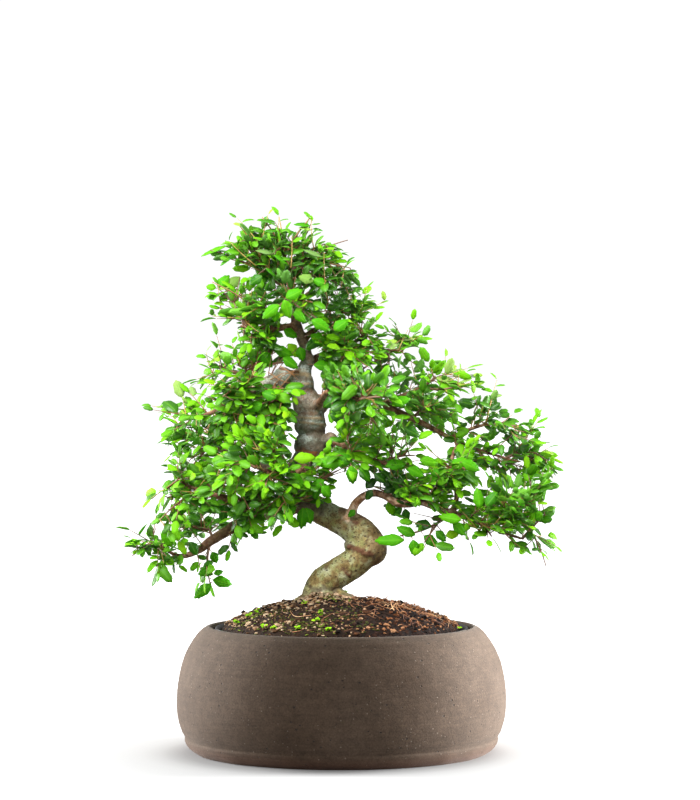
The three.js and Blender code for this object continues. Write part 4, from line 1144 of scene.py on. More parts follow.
def seedling(bm, leaf_mesh, rng, right, down, height):
    """A sprig of small round leaves on the soil."""
    foot = on_mound(right, down)
    stem = [foot, foot + np.array([rng.uniform(-1, 1), -0.5, height])]
    add_copy(bm, tube_mesh([[(*p, 0.22) for p in stem]], 5, STRAW), Matrix.Identity(4), 0.9)
    for k in range(rng.randint(8, 13)):
        turn = 2.4 * k + rng.uniform(-0.4, 0.4)
        way = Vector((math.cos(turn), math.sin(turn), rng.uniform(-0.2, 0.8)))
        size = rng.uniform(1.2, 2.5)
        off = np.array([rng.uniform(-1, 1), rng.uniform(-1, 1), -rng.uniform(0, 0.7) * height])
        matrix = Matrix.Translation(stem[1] + off)
        matrix @= turn_to(way, (0, -0.7, 1)) @ Matrix.Diagonal((size, size * 1.6, size, 1))
        add_copy(bm, leaf_mesh, matrix, rng.uniform(0.78, 1.0))


def crumb_cover(bm, rng):
    """Crumbs all over the soil, paler on the left, and a knobbly crown of them over the roots."""
    crumbs = crumb_shapes("crumb", PEAT, rng)
    tufts = crumb_shapes("tuft", MOSS, rng)
    for k in range(CRUMBS):
        r = CRUMB_REACH * math.sqrt(rng.random())
        turn = rng.uniform(0, 2 * math.pi)
        size = rng.uniform(0.9, 2.1) + (rng.uniform(0, 2.6) if rng.random() < 0.16 else 0)
        x, y = r * math.cos(turn), r * math.sin(turn)
        scatter(bm, crumbs, rng, x, y, size, rng.random() ** (0.75 if x < -10 else 1.5) * 1.15)
    for k in range(ROOT_CROWN_CRUMBS):
        x = FOOT_X + rng.gauss(0, 12)
        y = ROOT_CROWN_Y + rng.gauss(0, 9)
        scatter(bm, crumbs, rng, x, y, rng.uniform(1.1, 3.0), rng.uniform(0.6, 1.3))
    for right, down, count, spread, bright in MOSS_BEDS:
        x, y, _ = on_mound(right, down)
        for k in range(count):
            scatter(bm, tufts, rng, x + rng.gauss(0, spread), y + rng.gauss(0, spread),
                    rng.uniform(0.8, 2.0), rng.uniform(0.2, 1.1) * bright, flat=0.7)


def planted_soil(leaf):
    rng = random.Random(SOIL_SEED)
    bm = bmesh.new()
    add_copy(bm, shape_mesh("mound", soil_mound()), Matrix.Identity(4), 0.15)
    crumb_cover(bm, rng)
    add_copy(bm, dry_roots(rng), Matrix.Identity(4), 0.5)
    sprig = leaf_shape("sprig_leaf", 0.15, 0.15, 0.1, material=SPRIG_LEAF)
    for right, down, height in SEEDLINGS:
        seedling(bm, sprig, rng, right, down, height)
    materials = [soil_material(), moss_material(), straw_material(), leaf]
    made = piece("planted_soil", bm, materials, smooth=False)
    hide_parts("soil")
    return made


# Trunk and limbs.

BARK_VOXEL = 0.85
# The tubes are this much thinner than the wood, because the bark's lumps are raised from them.
BARK_LUMPS = 0.35
THIN_WOOD = 5.2
# The trunk below this height is olive, and its middle stands a little to the right.
LOW_BARK_TOP = 172
MIDDLE_SHIFT = 0.6
MIDDLE_FOOT = 108
MIDDLE_TOP = 188
KNOBS = [
    (330, 440, -6, 5.4), (283, 377, -10, 6.6), (311, 446, -2, 11.2), (310, 424, -1, 10.4),
    (276, 384, -12, 5.0), (303, 384, -3, 7.6), (349, 546, -6, 4.2), (303, 500, 0, 9.6),
    (320, 404, 2, 6.2), (308, 360, 0, 4.8),
]
# Marks on the bark, as seen from the front, by kind: the two ends on the sheet, and half the width there.
MARKS = {
    "scar": [
        ((349, 547), (370, 554), 2.1), ((352, 521), (356, 523), 1.6), ((346, 573), (349, 576), 1.8),
        ((364, 491), (380, 492), 1.2), ((280, 369), (298, 373), 1.0),
    ],
    "ring": [
        ((293, 372), (312, 375), 2.4), ((293, 383), (312, 384), 1.0), ((296, 417), (326, 419), 1.2),
        ((298, 422), (325, 425), 1.0),
    ],
    "rough": [
        ((342, 541), (351, 548), 2.8), ((296, 447), (330, 449), 5.0), ((304, 428), (322, 432), 4.0),
        ((288, 500), (318, 507), 7.0), ((306, 462), (300, 486), 11.0), ((305, 392), (312, 389), 2.2),
        ((316, 590), (350, 588), 2.6), ((300, 598), (350, 598), 6.0), ((326, 438), (348, 446), 5.5),
        ((238, 522), (206, 549), 2.5), ((296, 413), (320, 415), 1.6), ((300, 428), (326, 430), 1.6),
        ((292, 379), (311, 380), 1.2), ((293, 388), (312, 388), 1.2), ((296, 399), (301, 402), 1.2),
        ((294, 410), (296, 440), 2.0), ((325, 412), (328, 440), 2.0), ((327, 436), (336, 444), 3.0),
        ((367, 553), (373, 557), 1.5), ((321, 403), (330, 397), 2.5), ((306, 431), (322, 437), 2.6),
        ((292, 376), (311, 380), 1.5), ((306, 583), (312, 590), 1.6), ((322, 585), (325, 588), 1.5),
    ],
    "orange": [
        ((295, 450), (327, 454), 0.5), ((312, 454), (316, 457), 1.6), ((384, 494), (393, 500), 1.5),
        ((424, 506), (430, 508), 1.2),
    ],
    "pale": [
        ((347, 517), (356, 501), 3.4), ((360, 497), (372, 493), 2.0), ((388, 498), (412, 504), 2.2),
        ((424, 504), (448, 512), 2.0),
    ],
    "plain": [((314, 440), (326, 441), 5.0)],
    "brown": [
        ((372, 544), (364, 560), 3.0), ((246, 516), (200, 553), 8.0), ((376, 528), (378, 564), 9.0),
        ((320, 405), (344, 390), 4.0), ((366, 520), (378, 534), 3.0),
    ],
}


def wood_lines(limbs):
    """The trunk's foot, the trunk and the limbs, each as rows of x, y, z and radius in mm."""
    return [route(TRUNK_FOOT), route(TRUNK)] + [route(rows, LIMB_DEPTH) for rows in limbs.values()]


def joined_wood():
    """The trunk, its limbs and roots grown together: tubes and knobs made one skin."""
    lines = []
    for points in wood_lines({**LIMBS, **THINNER_LIMBS}) + [route(rows) for rows in ROOTS]:
        n = 7 * (len(points) - 1)
        lines.append([along_rows(points, k / n) - (0, 0, 0, BARK_LUMPS) for k in range(n + 1)])
    bm = bmesh.new()
    bm.from_mesh(tube_mesh(lines, 18))
    for right, down, deep, radius in [KNEE, *KNOBS]:
        centre = Matrix.Translation(place(right, down, deep))
        bmesh.ops.create_icosphere(bm, subdivisions=4, radius=radius, matrix=centre)
    mesh = bpy.data.meshes.new("wood")
    bm.to_mesh(mesh)
    bm.free()
    holder = bpy.data.objects.new("wood", mesh)
    bpy.context.scene.collection.objects.link(holder)
    remesh = holder.modifiers.new("one_skin", "REMESH")
    remesh.mode = "VOXEL"
    remesh.voxel_size = BARK_VOXEL
    bpy.context.view_layer.update()
    shown = bpy.context.evaluated_depsgraph_get()
    skin = bpy.data.meshes.new_from_object(holder.evaluated_get(shown))
    bpy.data.objects.remove(holder)
    bm = bmesh.new()
    bm.from_mesh(skin)
    for _ in range(3):
        bmesh.ops.smooth_vert(bm, verts=bm.verts, factor=0.5, use_axis_x=True, use_axis_y=True,
                              use_axis_z=True)
    return bm


def wood_radii(points):
    """How thick the wood is near each point, from the nearest row of any limb."""
    rows = []
    for line in wood_lines(LIMBS):
        n = 6 * (len(line) - 1)
        rows += [along_rows(line, k / n) for k in range(n + 1)]
    tree = kdtree.KDTree(len(rows))
    for k, (x, y, z, _) in enumerate(rows):
        tree.insert((x, y, z), k)
    tree.balance()
    return [rows[tree.find(p)[1]][3] for p in points]


def bark_marks(points, normals):
    """For each kind of mark, how strongly each point bears it. Scars and orange bark face the front alone."""
    seen = on_sheet(points)
    facing = np.clip(-normals[:, 1] * 2.5 + 0.4, 0, 1)
    ragged = np.array([noise.noise(Vector(p) * 0.35) for p in points])
    found = {}
    for kind, rows in MARKS.items():
        found[kind] = np.zeros(len(points))
        for start, end, width in rows:
            a, b = np.array(start, float), np.array(end, float)
            share = np.clip(((seen - a) @ (b - a)) / ((b - a) @ (b - a)), 0, 1)
            off = np.linalg.norm(seen - a - share[:, None] * (b - a), axis=1)
            strength = np.clip(1.6 - off / width + 1.1 * ragged, 0, 1)
            near = facing if kind in ("scar", "orange") else np.ones(len(points))
            found[kind] = np.maximum(found[kind], strength * near)
    return found


def elm_trunk():
    """The wood with its bark: lumps, ridges, scars and rings raised from it, and its marks as attributes."""
    bm = joined_wood()
    bm.normal_update()
    points = np.array([v.co[:] for v in bm.verts])
    normals = np.array([v.normal[:] for v in bm.verts])
    radii = np.array(wood_radii(points))
    marks = bark_marks(points, normals)
    thin = np.clip((THIN_WOOD - radii) / 2.0, 0, 1) * (1 - marks["plain"])
    low = np.clip((LOW_BARK_TOP - points[:, 2]) / 18, 0, 1)
    layers = {name: bm.verts.layers.float.new(name) for name in (*marks, "thin", "low")}
    for k, v in enumerate(bm.verts):
        p = Vector(points[k])
        lump = noise.noise(p * 0.09) * 0.7 + noise.noise(p * 0.23) * 0.35
        ridge = abs(noise.noise(Vector((p.x * 0.5, p.y * 0.5, p.z * 0.22)))) * 0.35
        bark = noise.noise(p * 0.8) * (0.12 + 0.5 * marks["rough"][k])
        size = min(1.0, radii[k] / 9)
        raised = 0.9 * marks["scar"][k] * (0.5 + noise.noise(p * 0.9)) + 0.45 * marks["ring"][k]
        v.co += Vector(normals[k]) * (size * (lump + ridge + bark) + raised * size)
        below_top = min(1, max(0, (MIDDLE_TOP - p.z) / 8))
        v.co.x += MIDDLE_SHIFT * below_top * min(1, max(0, (p.z - MIDDLE_FOOT) / 8))
        v[layers["thin"]] = thin[k]
        v[layers["low"]] = low[k]
        for kind in marks:
            v[layers[kind]] = marks[kind][k]
    made = piece("elm_trunk", bm, [bark_material()])
    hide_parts("trunk")
    return made


# Growth of the branchlets, by the rule that the solids follow, with the same draws.

def draws(seed):
    state = seed

    def draw():
        nonlocal state
        state = (state * 1664525 + 1013904223) % 4294967296
        return state / 4294967296
    return draw


def unit(v):
    return v / np.linalg.norm(v)


def squared(v, axis):
    return unit(v - axis * (v @ axis))


def turned(v, axis, angle):
    """v turned about a unit axis."""
    c, s = math.cos(angle), math.sin(angle)
    return v * c + np.cross(axis, v) * s + axis * (axis @ v) * (1 - c)


def arc(path, t):
    a, b, c = path
    return (1 - t) ** 2 * a + 2 * t * (1 - t) * b + t * t * c


def heading(path, t):
    return unit(arc(path, min(t + 1e-4, 1)) - arc(path, max(t - 1e-4, 0)))


def swing(attempt):
    return attempt * (1 if attempt % 2 else -1)


UP = np.array([0.0, 0.0, 1.0])
FRONT = np.array([0.0, -1.0, 0.0])
ARC_SHARES = np.linspace(0, 1, 201)


def even_point(path, share):
    """The point at that share of the arc's length."""
    points = np.array([arc(path, t) for t in ARC_SHARES])
    length = np.concatenate([[0], np.cumsum(np.linalg.norm(np.diff(points, axis=0), axis=1))])
    return arc(path, float(np.interp(share * length[-1], length, ARC_SHARES)))


def axis_point(shoot, t):
    """A point of a shoot's axis. A stem is straight between its rings."""
    if not shoot["stem"]:
        return arc(shoot["path"], t)
    if "rings" not in shoot:
        shoot["rings"] = [even_point(shoot["path"], k / STEM_RINGS) for k in range(STEM_RINGS + 1)]
    ring = min(int(t * STEM_RINGS), STEM_RINGS - 1)
    share = t * STEM_RINGS - ring
    return shoot["rings"][ring] * (1 - share) + shoot["rings"][ring + 1] * share


def outward(p):
    return unit(np.array([p[0] - TRUNK_X, p[1] * 1.2, 0]))


class Wood:
    """Points along all wood so far, so that new wood keeps clear of it."""

    def __init__(self):
        self.at = []
        self.radius = []
        self.owner = []

    def keep(self, path, owner, radius):
        n = max(3, int(np.linalg.norm(path[2] - path[0]) / WOOD_STEP))
        for k in range(n):
            self.at.append(arc(path, (k + 0.5) / n))
            self.radius.append(radius)
            self.owner.append(owner)

    def room(self, path, owner, skip):
        """Whether the path keeps clear of all wood but its owner's, past its first stretch."""
        n = max(3, int(np.linalg.norm(path[2] - path[0]) / WOOD_STEP))
        points = np.array([arc(path, (k + 1) / n) for k in range(n)])
        points = points[np.linalg.norm(points - path[0], axis=1) > skip]
        if not len(points):
            return True
        others = np.array([o != owner for o in self.owner])
        at = np.array(self.at)[others]
        radius = np.array(self.radius)[others]
        apart = np.linalg.norm(points[:, None] - at[None], axis=2) - radius
        return not (apart < WOOD_CLEAR).any()

    def keep_limbs(self):
        """Keeps the trunk and the limbs, which no branchlet owns."""
        for line in wood_lines(LIMBS):
            n = 5 * (len(line) - 1)
            for k in range(n + 1):
                x, y, z, radius = along_rows(line, k / n)
                self.at.append(np.array([x, y, z]))
                self.radius.append(radius)
                self.owner.append("")


def limb_line(name):
    """The trunk or a limb as rows of x, y, z and radius in mm."""
    return route(TRUNK) if name == "trunk" else route(LIMBS[name], LIMB_DEPTH)


def add_shoot(spray, path, face, first=3, stem=False, tone=None):
    """Adds a shoot to a branchlet. Its leaves start that many mm along it."""
    shoot = {"path": path, "face": face, "first": first, "stem": stem, "tone": tone}
    spray["shoots"].append(shoot)
    return shoot


def grow_stems(draw, wood):
    """The branchlets, each with its main stem first and then the stems that fork from it."""
    grown = []
    for name, (limb, share, *tips) in SPRAYS.items():
        root = along_rows(limb_line(limb), share)
        thick = root[3]
        spray = {"name": name, "shoots": [], "leaves": []}
        for number, end in enumerate(tips):
            start = axis_point(spray["shoots"][0], 0.3) if number else root[:3]
            tip = place(end[0], end[1], end[2] * LIMB_DEPTH)
            tip = tip - unit(tip - start) * TIP_LEAF
            span = tip - start
            length = np.linalg.norm(span)
            ahead = unit(span)
            face = squared(UP * 0.8 + outward(tip) * 0.5 + FRONT * 0.25, ahead)
            bow = 0.08 + 0.08 * draw()
            for attempt in range(9):
                lift = turned(face, ahead, swing(attempt) * 0.8)
                path = [start, start + span * 0.5 + lift * (length * (bow + 0.04 * attempt)), tip]
                if wood.room(path, f"{name} 0", 3 if number else thick + 3):
                    break
            wood.keep(path, f"{name} {number}", 1)
            add_shoot(spray, path, face, 3 if number else min(thick + 3, 0.45 * length), stem=True)
        grown.append(spray)
    return grown


def grow_side_shoots(grown, draw, wood):
    """Short shoots to both sides of each stem, wherever there is room."""
    for k, spray in enumerate(grown):
        for number, stem in enumerate(list(spray["shoots"])):
            path, face = stem["path"], stem["face"]
            span = path[2] - path[0]
            side = unit(np.cross(face, unit(span)))
            count = max(2, int(np.linalg.norm(span) * 0.85 / SHOOT_STEP))
            for j in range(count):
                t = 0.16 + (0.72 * (j + 0.4 * draw())) / count
                p = axis_point(stem, t)
                along = heading(path, t)
                sign = -1 if (j + k) % 2 else 1
                spread = 0.75 + 0.45 * draw()
                lift = -0.1 + 0.6 * draw()
                size = (11 + 12 * draw()) * (1.1 - 0.6 * t)
                for attempt in range(7):
                    angle = swing(attempt) * 0.5
                    way = unit(along * 0.75 + turned(side, along, angle) * (sign * spread)
                               + turned(face, along, angle) * lift)
                    end = p + way * size + along * (0.2 * size) + UP * (0.12 * size)
                    sub = [p, (p + end) / 2, end]
                    if wood.room(sub, f"{spray['name']} {number}", 3):
                        wood.keep(sub, f"{spray['name']} {number}", 0.7)
                        add_shoot(spray, sub, face)
                        break


def grow_leaves(grown, draw):
    """Alternate leaves along every shoot, and one that ends it."""
    for spray in grown:
        for shoot in spray["shoots"]:
            path, face, first = shoot["path"], shoot["face"], shoot["first"]
            size = np.linalg.norm(path[2] - path[0])
            n = max(0, int((size - first) / LEAF_STEP))
            for m in range(n + 1):
                t = (first + ((size - first) * m) / n) / size if n else 1
                along = heading(path, t)
                f = squared(face + UP * 0.3, along)
                side = np.cross(f, along)
                sign = 1 if m % 2 else -1
                last = m == n
                r = [draw() for _ in range(7)]
                lean = 0.15 if last else 0.75 + 0.5 * r[0]
                way = unit(along * math.cos(lean) + side * (sign * math.sin(lean))
                           + UP * (0.35 * r[1] - 0.25))
                wild = np.array([r[2] - 0.5, r[3] - 0.5, r[4] - 0.35])
                normal = squared(f * 0.7 + outward(arc(path, t)) * 0.45 + wild * 1.5 + FRONT * 0.15, way)
                length = (9.5 + 8.5 * r[5]) * (0.78 if last else 1)
                spray["leaves"].append({"base": axis_point(shoot, t), "along": along, "way": way,
                                        "normal": normal, "length": length, "tone": r[6], "last": last})


def grow():
    """All branchlets, each with its shoots and leaves."""
    draw = draws(GROWTH_SEED)
    wood = Wood()
    wood.keep_limbs()
    grown = grow_stems(draw, wood)
    grow_side_shoots(grown, draw, wood)
    grow_leaves(grown, draw)
    return grown


def match_solids(spray):
    """Gives each leaf that the solids carry the same turn about its shoot."""
    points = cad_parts["spray_" + spray["name"]].data.vertices
    tree = kdtree.KDTree(len(points))
    for k, v in enumerate(points):
        tree.insert(v.co * 1000, k)
    tree.balance()
    for leaf in spray["leaves"]:
        leaf["solid"] = False
        for angle in (0, 0.6, -0.6, 1.2, -1.2):
            way = turned(leaf["way"], leaf["along"], angle)
            normal = turned(leaf["normal"], leaf["along"], angle)
            tip = leaf["base"] + way * (leaf["length"] + 0.8) - normal * (0.1 * leaf["length"])
            if tree.find(tip)[2] < 0.05:
                leaf.update(way=way, normal=normal, solid=True)
                break


# The crown between the leaves of the solids.

SHOOT_SEED = 7
# Limbs bear fine shoots only where they are thinner than this, and the trunk only along its last rows.
THIN_LIMB = 3.3
TRUNK_TOP = -7
# Above this place on the sheet the open leaves lie level, seen almost from the edge.
CROWN_TOP = 270
# Branchlets that hang free, with few leaves.
SPARSE = ("left_hanging", "right_low_droop")


def inside(outline, right, down):
    """Whether a place on the sheet lies inside an outline on it."""
    crossed = False
    for (ax, ay), (bx, by) in zip(outline, outline[1:] + outline[:1]):
        if (ay > down) != (by > down) and right < ax + (down - ay) / (by - ay) * (bx - ax):
            crossed = not crossed
    return crossed


def in_gap(point):
    """Whether the air shows at a point in mm, as seen from the front."""
    right, down = on_sheet(np.array([point]))[0]
    return any(inside(gap, right, down) for gap in CROWN_GAPS)


def in_crown(point):
    """Whether leaves may be at a point in mm, as seen from the front."""
    right, down = on_sheet(np.array([point]))[0]
    return inside(CROWN_OUTLINE, right, down) and not in_gap(point)


def fine_shoot(spray, base, along, face, reach, rng):
    """A fine shoot with its leaves, off to any side. One that would leave the crown is not grown."""
    side = unit(np.cross(face, along))
    turn = rng.uniform(0, 2 * math.pi)
    off = side * math.cos(turn) + np.cross(along, side) * math.sin(turn)
    way = unit(along * rng.uniform(0.2, 0.9) + off + UP * 0.25)
    size = rng.uniform(0.4, 1.0) * reach
    end = base + way * size + UP * 0.1 * size
    if not in_crown(end + way * 5) or not in_crown(end) or in_gap((base + end) / 2):
        return
    shoot = add_shoot(spray, [base, (base + end) / 2 + off * 0.08 * size, end], face, first=2.5)
    leafy(spray, shoot, rng)


def tone_there(point, tone, rng):
    """The tone of a fine leaf: darker in the shade, and sometimes pale where light comes through."""
    right, down = on_sheet(np.array([point]))[0]
    for outline, share in PALE:
        if inside(outline, right, down) and rng.random() < share:
            return rng.uniform(1.05, 1.25)
    for outline, share in SHADED:
        if inside(outline, right, down):
            return tone * share
    return tone


def leafy(spray, shoot, rng):
    """Alternate leaves along a fine shoot, and one that ends it."""
    path, face = shoot["path"], shoot["face"]
    size = np.linalg.norm(path[2] - path[0])
    n = max(1, round((size - shoot["first"]) / 4.5))
    for m in range(n + 1):
        t = min(1, (shoot["first"] + (size - shoot["first"]) * m / n) / size)
        along = heading(path, t)
        f = squared(face * 0.7 + UP * 0.6, along)
        side = np.cross(f, along)
        front = -0.2 if spray["name"].startswith("crown_peak") else 0.4
        last = m == n
        lean = rng.uniform(-0.2, 0.2) if last else rng.uniform(0.6, 1.25)
        way = unit(along * math.cos(lean) + side * ((-1) ** m * math.sin(lean))
                   + UP * rng.uniform(-0.35, 0.15))
        wild = np.array([rng.uniform(-0.7, 0.7), rng.uniform(-0.7, 0.7), rng.uniform(-0.3, 1)])
        normal = squared(f * 0.7 + outward(arc(path, t)) * 0.4 + wild + FRONT * front, way)
        length = rng.triangular(7, 15, 10) * (0.85 if last else 1)
        middle = arc(path, t) + way * (0.5 * length)
        if not in_crown(middle) or in_gap(arc(path, t) + way * (0.9 * length)):
            continue
        spray["leaves"].append({"base": arc(path, t), "along": along, "way": way, "normal": normal,
                                "length": length, "last": last, "solid": False,
                                "tone": rng.random() * (0.55 + 0.45 * m / n)})


def nearest_wood(spray, point, with_limb=False):
    """The point of a branchlet's main stem, or of its limb too, that lies nearest."""
    stem = spray["shoots"][0]
    wood = [axis_point(stem, t) for t in np.linspace(0.25, 1, 16)]
    limb = SPRAYS[spray["name"]][0]
    if with_limb and limb != "trunk":
        line = limb_line(limb)
        wood += [along_rows(line, t)[:3] for t in np.linspace(0, 1, 24)]
    return min(wood, key=lambda p: np.linalg.norm(p - point))


def open_leaf(spray, root, tip, deep, tone):
    """A large leaf on a thin shoot of its own, which springs from the nearest wood. High ones lie level."""
    start = place(*root, deep)
    end = place(*tip, deep + 1.5)
    foot = nearest_wood(spray, start, with_limb=True)
    way = unit(end - start)
    middle = (foot + start) / 2 + way * -1.5 + UP * 1.5
    add_shoot(spray, [foot, middle, start], UP, tone=0.1)
    high = root[1] < CROWN_TOP
    normal = squared(FRONT * (0.6 if high else 1) + UP * (1 if high else 0.35), way)
    spray["leaves"].append({"base": start - way * 0.6, "along": way, "way": way, "normal": normal,
                            "length": np.linalg.norm(end - start) / 0.85, "tone": tone, "last": False,
                            "solid": False, "open": True, "slim": 0.75 if high else 1})


def young_shoot(spray, foot, tip, deep, rng):
    """A young shoot that rises out of the crown, with thin level leaves to both sides."""
    start = place(*foot, deep)
    end = place(*tip, deep + rng.uniform(-3, 3))
    root = nearest_wood(spray, start)
    add_shoot(spray, [root, (root + start) / 2, start], UP)
    bend = (start + end) / 2 + np.array([rng.uniform(-1.5, 1.5), 0, 0])
    shoot = add_shoot(spray, [start, bend, end], UP, first=2, tone=0.6)
    size = np.linalg.norm(end - start)
    n = max(2, round(size / 4.2))
    for m in range(n + 1):
        t = (m + 0.3) / (n + 0.3)
        side = np.array([(-1) ** m, rng.uniform(-0.6, 0.4), 0])
        way = unit(side + UP * rng.uniform(0.05, 0.55) + (heading(shoot["path"], t) if m == n else 0))
        normal = squared(UP + FRONT * rng.uniform(0.3, 1.0), way)
        spray["leaves"].append({"base": arc(shoot["path"], t), "along": way, "way": way, "normal": normal,
                                "length": rng.uniform(8, 12) * (1 - 0.25 * t),
                                "tone": 0.35 + 0.5 * t * rng.random(), "last": False, "solid": False})


def dress_stems(spray, rng):
    """Fine shoots all round each stem of a branchlet."""
    for stem in [shoot for shoot in spray["shoots"] if shoot["stem"]]:
        path = stem["path"]
        reach = np.linalg.norm(path[2] - path[0])
        first = stem["first"] / reach
        count = max(3, int(reach * (1 - first) / 2.6))
        for j in range(count):
            t = first + (1 - first) * (j + rng.random()) / count
            fine_shoot(spray, axis_point(stem, t), heading(path, t), stem["face"], 24 - 9 * t, rng)


def long_shoot(spray, end, rng):
    """A longer shoot from the main stem of a branchlet, with fine shoots along it."""
    start = axis_point(spray["shoots"][0], 0.35)
    size = np.linalg.norm(end - start)
    face = squared(UP + FRONT * 0.3, unit(end - start))
    middle = (start + end) / 2 + face * (0.1 * size)
    stem = add_shoot(spray, [start, middle, end], face, stem=True)
    for j in range(int(size / 2.4)):
        t = min(1, 0.15 + j * 2.4 / size)
        fine_shoot(spray, axis_point(stem, t), heading(stem["path"], t), face, 20, rng)


def dress_limb(name, rows, grown, rng):
    """Fine shoots along the thin part of a limb or of the trunk's top, each in the nearest branchlet."""
    line = route(rows, 1 if name == "trunk" else LIMB_DEPTH)
    sprays = [spray for spray in grown if SPRAYS[spray["name"]][0] == name]
    length = np.linalg.norm(np.diff(line[:, :3], axis=0), axis=1).sum()
    count = int(length / 4.5)
    for j in range(count):
        t = 0.2 + 0.8 * (j + rng.random()) / count
        here = along_rows(line, t)
        if here[3] > THIN_LIMB:
            continue
        along = unit(along_rows(line, min(1, t + 0.02))[:3] - along_rows(line, t - 0.02)[:3])
        spray = min(sprays, key=lambda one: abs(SPRAYS[one["name"]][1] - t))
        fine_shoot(spray, here[:3], along, squared(UP + FRONT * 0.3, along), 22, rng)


def fill_in(grown):
    """What the solids leave out: open leaves and young shoots, and finer shoots along stems and limbs."""
    rng = random.Random(SHOOT_SEED)
    named = {spray["name"]: spray for spray in grown}
    for name, leaves in OPEN_LEAVES.items():
        for root, tip, deep, tone in leaves:
            open_leaf(named[name], root, tip, deep, tone)
    for name, foot, tip, deep in YOUNG_SHOOTS:
        young_shoot(named[name], foot, tip, deep, rng)
    for spray in grown:
        if spray["name"] in SPARSE:
            spray["leaves"] = [leaf for leaf in spray["leaves"] if leaf["solid"] or "open" in leaf]
        else:
            dress_stems(spray, rng)
    for name, right, down, deep in CROWN_FILL:
        long_shoot(named[name], place(right, down, deep), rng)
    for name, rows in {**LIMBS, "trunk": TRUNK[TRUNK_TOP:]}.items():
        dress_limb(name, rows, grown, rng)


# Leaves.

LEAF_SEED = 12
LEAF_LENGTH = 14
LEAF_THICK = 0.20
LEAF_WIDTH = 0.26
TEETH = 5
OPEN_TEETH = 8
WIDEST_OPEN_LEAF = 14.5
SHOOT_TONES = (0.1, 0.35, 0.35, 0.6)
# The order of the materials of each piece of foliage.
FINE_LEAF, YOUNG_WOOD, OPEN_LEAF = range(3)


def leaf_shape(name, droop, fold, curl, material=FINE_LEAF, teeth=TEETH, width=LEAF_WIDTH, taper=0.62):
    """An elm leaf of length 1 along X, facing Z: toothed, folded along its rib and uneven at its root."""
    bm = bmesh.new()
    half = 2 * teeth + 1
    bmesh.ops.create_circle(bm, cap_ends=True, segments=2 * half, radius=1)
    whole = bm.verts[:] + bm.edges[:] + bm.faces[:]
    bmesh.ops.bisect_plane(bm, geom=whole, plane_co=(0, 0, 0), plane_no=(0, 1, 0), dist=0.001)
    rib = [e for e in bm.edges if abs(e.verts[0].co.y) < 0.01 and abs(e.verts[1].co.y) < 0.01]
    bmesh.ops.subdivide_edges(bm, edges=rib, cuts=3)
    bmesh.ops.triangulate(bm, faces=bm.faces)
    flat = bm.loops.layers.uv.new("leaf")
    for v in bm.verts:
        x = (v.co.x + 1) / 2
        side = 1 if v.co.y > 0 else -1
        if abs(v.co.y) > 0.01:
            turn = math.acos(max(-1, min(1, v.co.x))) / math.pi
            tooth = 0.10 if round(turn * half) % 2 else -0.05
            wide = math.sin(math.pi * min(1, max(0, x)) ** 0.92) ** taper
            y = width * wide * (1 + (0.06 if side > 0 else -0.04) * (1 - x)) * (1 + tooth)
            x += tooth * 0.22
        else:
            y = 0
        v.co = (x, side * y, fold * y - droop * x * x + curl * x * (1 - x))
    for face in bm.faces:
        for loop in face.loops:
            loop[flat].uv = (loop.vert.co.x, 0.5 + loop.vert.co.y)
    back = bm.verts.layers.float.new("back")
    bm.normal_update()
    if sum(face.normal.z for face in bm.faces) < 0:
        bmesh.ops.reverse_faces(bm, faces=bm.faces)
    bmesh.ops.solidify(bm, geom=bm.faces[:], thickness=LEAF_THICK / LEAF_LENGTH)
    bmesh.ops.recalc_face_normals(bm, faces=bm.faces)
    bm.normal_update()
    for v in bm.verts:
        v[back] = 1.0 if v.normal.z < -0.2 else 0.0
    return shape_mesh(name, bm, material)


def fine_leaf_shapes():
    return [
        leaf_shape("leaf_flat", 0.06, 0.10, 0.04),
        leaf_shape("leaf_cupped", 0.10, 0.26, 0.06, width=0.23),
        leaf_shape("leaf_arched", 0.20, 0.16, 0.12),
        leaf_shape("leaf_waved", 0.02, 0.05, -0.08, width=0.28),
    ]


def open_leaf_shapes():
    return [
        leaf_shape("open_leaf_flat", 0.05, 0.06, 0.03, OPEN_LEAF, OPEN_TEETH, width=0.25),
        leaf_shape("open_leaf_bent", 0.10, 0.10, 0.05, OPEN_LEAF, OPEN_TEETH, width=0.265, taper=0.66),
    ]


def add_wood(bm, spray, rng):
    """The shoots of a branchlet as tapered tubes, the main stem the thickest and brownest."""
    lines = {tone: [] for tone in SHOOT_TONES}
    for shoot in spray["shoots"]:
        main = shoot is spray["shoots"][0]
        n = 8 if shoot["stem"] else 4
        start = (1.15 if main else 0.85) if shoot["stem"] else 0.44
        points = [arc(shoot["path"], k / n) for k in range(n + 1)]
        if shoot["stem"]:
            points = [axis_point(shoot, k / n) * 0.5 + points[k] * 0.5 for k in range(n + 1)]
        tone = SHOOT_TONES[0] if main else rng.choice(SHOOT_TONES)
        if shoot["tone"] is not None:
            tone = shoot["tone"]
        lines[tone].append([(*p, start * (1 - 0.6 * k / n)) for k, p in enumerate(points)])
    for tone, group in lines.items():
        if group:
            add_copy(bm, tube_mesh(group, 6, YOUNG_WOOD), Matrix.Identity(4), tone)


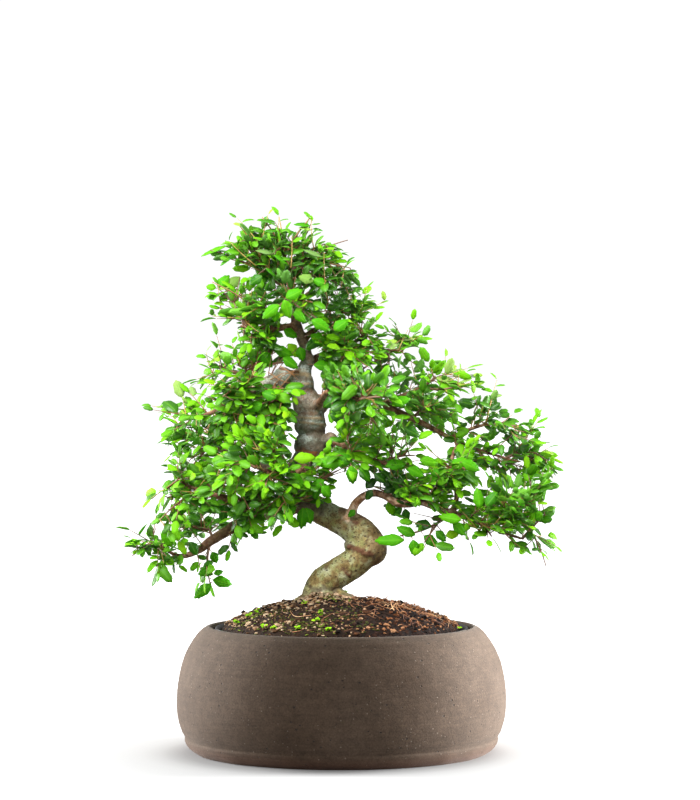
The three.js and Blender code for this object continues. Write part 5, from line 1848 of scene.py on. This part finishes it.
def add_leaf(bm, leaf, shapes, open_shapes, rng):
    """One leaf of a branchlet, in its own size and tone."""
    is_open = "open" in leaf
    length = leaf["length"] * (0.85 if is_open else rng.uniform(0.78, 0.92))
    wide = length * rng.uniform(0.92, 1.12)
    if is_open:
        wide = min(WIDEST_OPEN_LEAF, length * 1.3) * rng.uniform(0.9, 1.05) * leaf["slim"]
        tone = leaf["tone"]
    else:
        tone = 0.10 + 0.62 * leaf["tone"] + (0.14 if leaf["last"] else 0)
        tone = tone_there(leaf["base"], tone, rng)
    matrix = Matrix.Translation(leaf["base"] + leaf["way"] * 0.6)
    matrix @= turn_to(leaf["way"], leaf["normal"])
    matrix @= Matrix.Diagonal((length, wide, length, 1))
    add_copy(bm, rng.choice(open_shapes if is_open else shapes), matrix, tone)


def bare_twigs():
    """The bare twigs, each 2 mm further to the front than the one before it."""
    twigs = [[(*place(*spot, -19 - 2 * k), 0.42 - 0.08 * j) for j, spot in enumerate(twig)]
             for k, twig in enumerate(BARE_TWIGS)]
    return tube_mesh(twigs, 6, YOUNG_WOOD)


def foliage(leaf, young_wood, open_green):
    """All branchlets with their wood and leaves, in a piece for each part of the crown."""
    grown = grow()
    for spray in grown:
        match_solids(spray)
    fill_in(grown)
    shapes = fine_leaf_shapes()
    open_shapes = open_leaf_shapes()
    rng = random.Random(LEAF_SEED)
    pieces = []
    for name, starts in FOLIAGE.items():
        bm = bmesh.new()
        sprays = [spray for spray in grown if spray["name"].startswith(starts)]
        for spray in sprays:
            add_wood(bm, spray, rng)
            for row in spray["leaves"]:
                add_leaf(bm, row, shapes, open_shapes, rng)
        if name == "left_high_leaves":
            add_copy(bm, bare_twigs(), Matrix.Identity(4), 0.38)
        made = piece(name, bm, [leaf, young_wood, open_green])
        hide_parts(*["spray_" + spray["name"] for spray in sprays])
        pieces.append(made)
    return pieces


lit = studio()
leaf = leaf_material("leaf", FINE_GREENS, (0.24, 0.58, 0.004))
open_green = leaf_material("open_leaf", OPEN_GREENS, (0.10, 0.40, 0.002))
young_wood = shoot_material()
pots = [stoneware_pot(), grow_pot_rim()]
soil = planted_soil(leaf)
trunk = elm_trunk()
leaves = foliage(leaf, young_wood, open_green)
for name, receivers in (("side_lamps", [*pots, soil, *leaves]), ("tree_softbox", [soil, trunk, *leaves]),
                        ("front_fill", leaves)):
    for receiver in receivers:
        lit[name].objects.link(receiver)
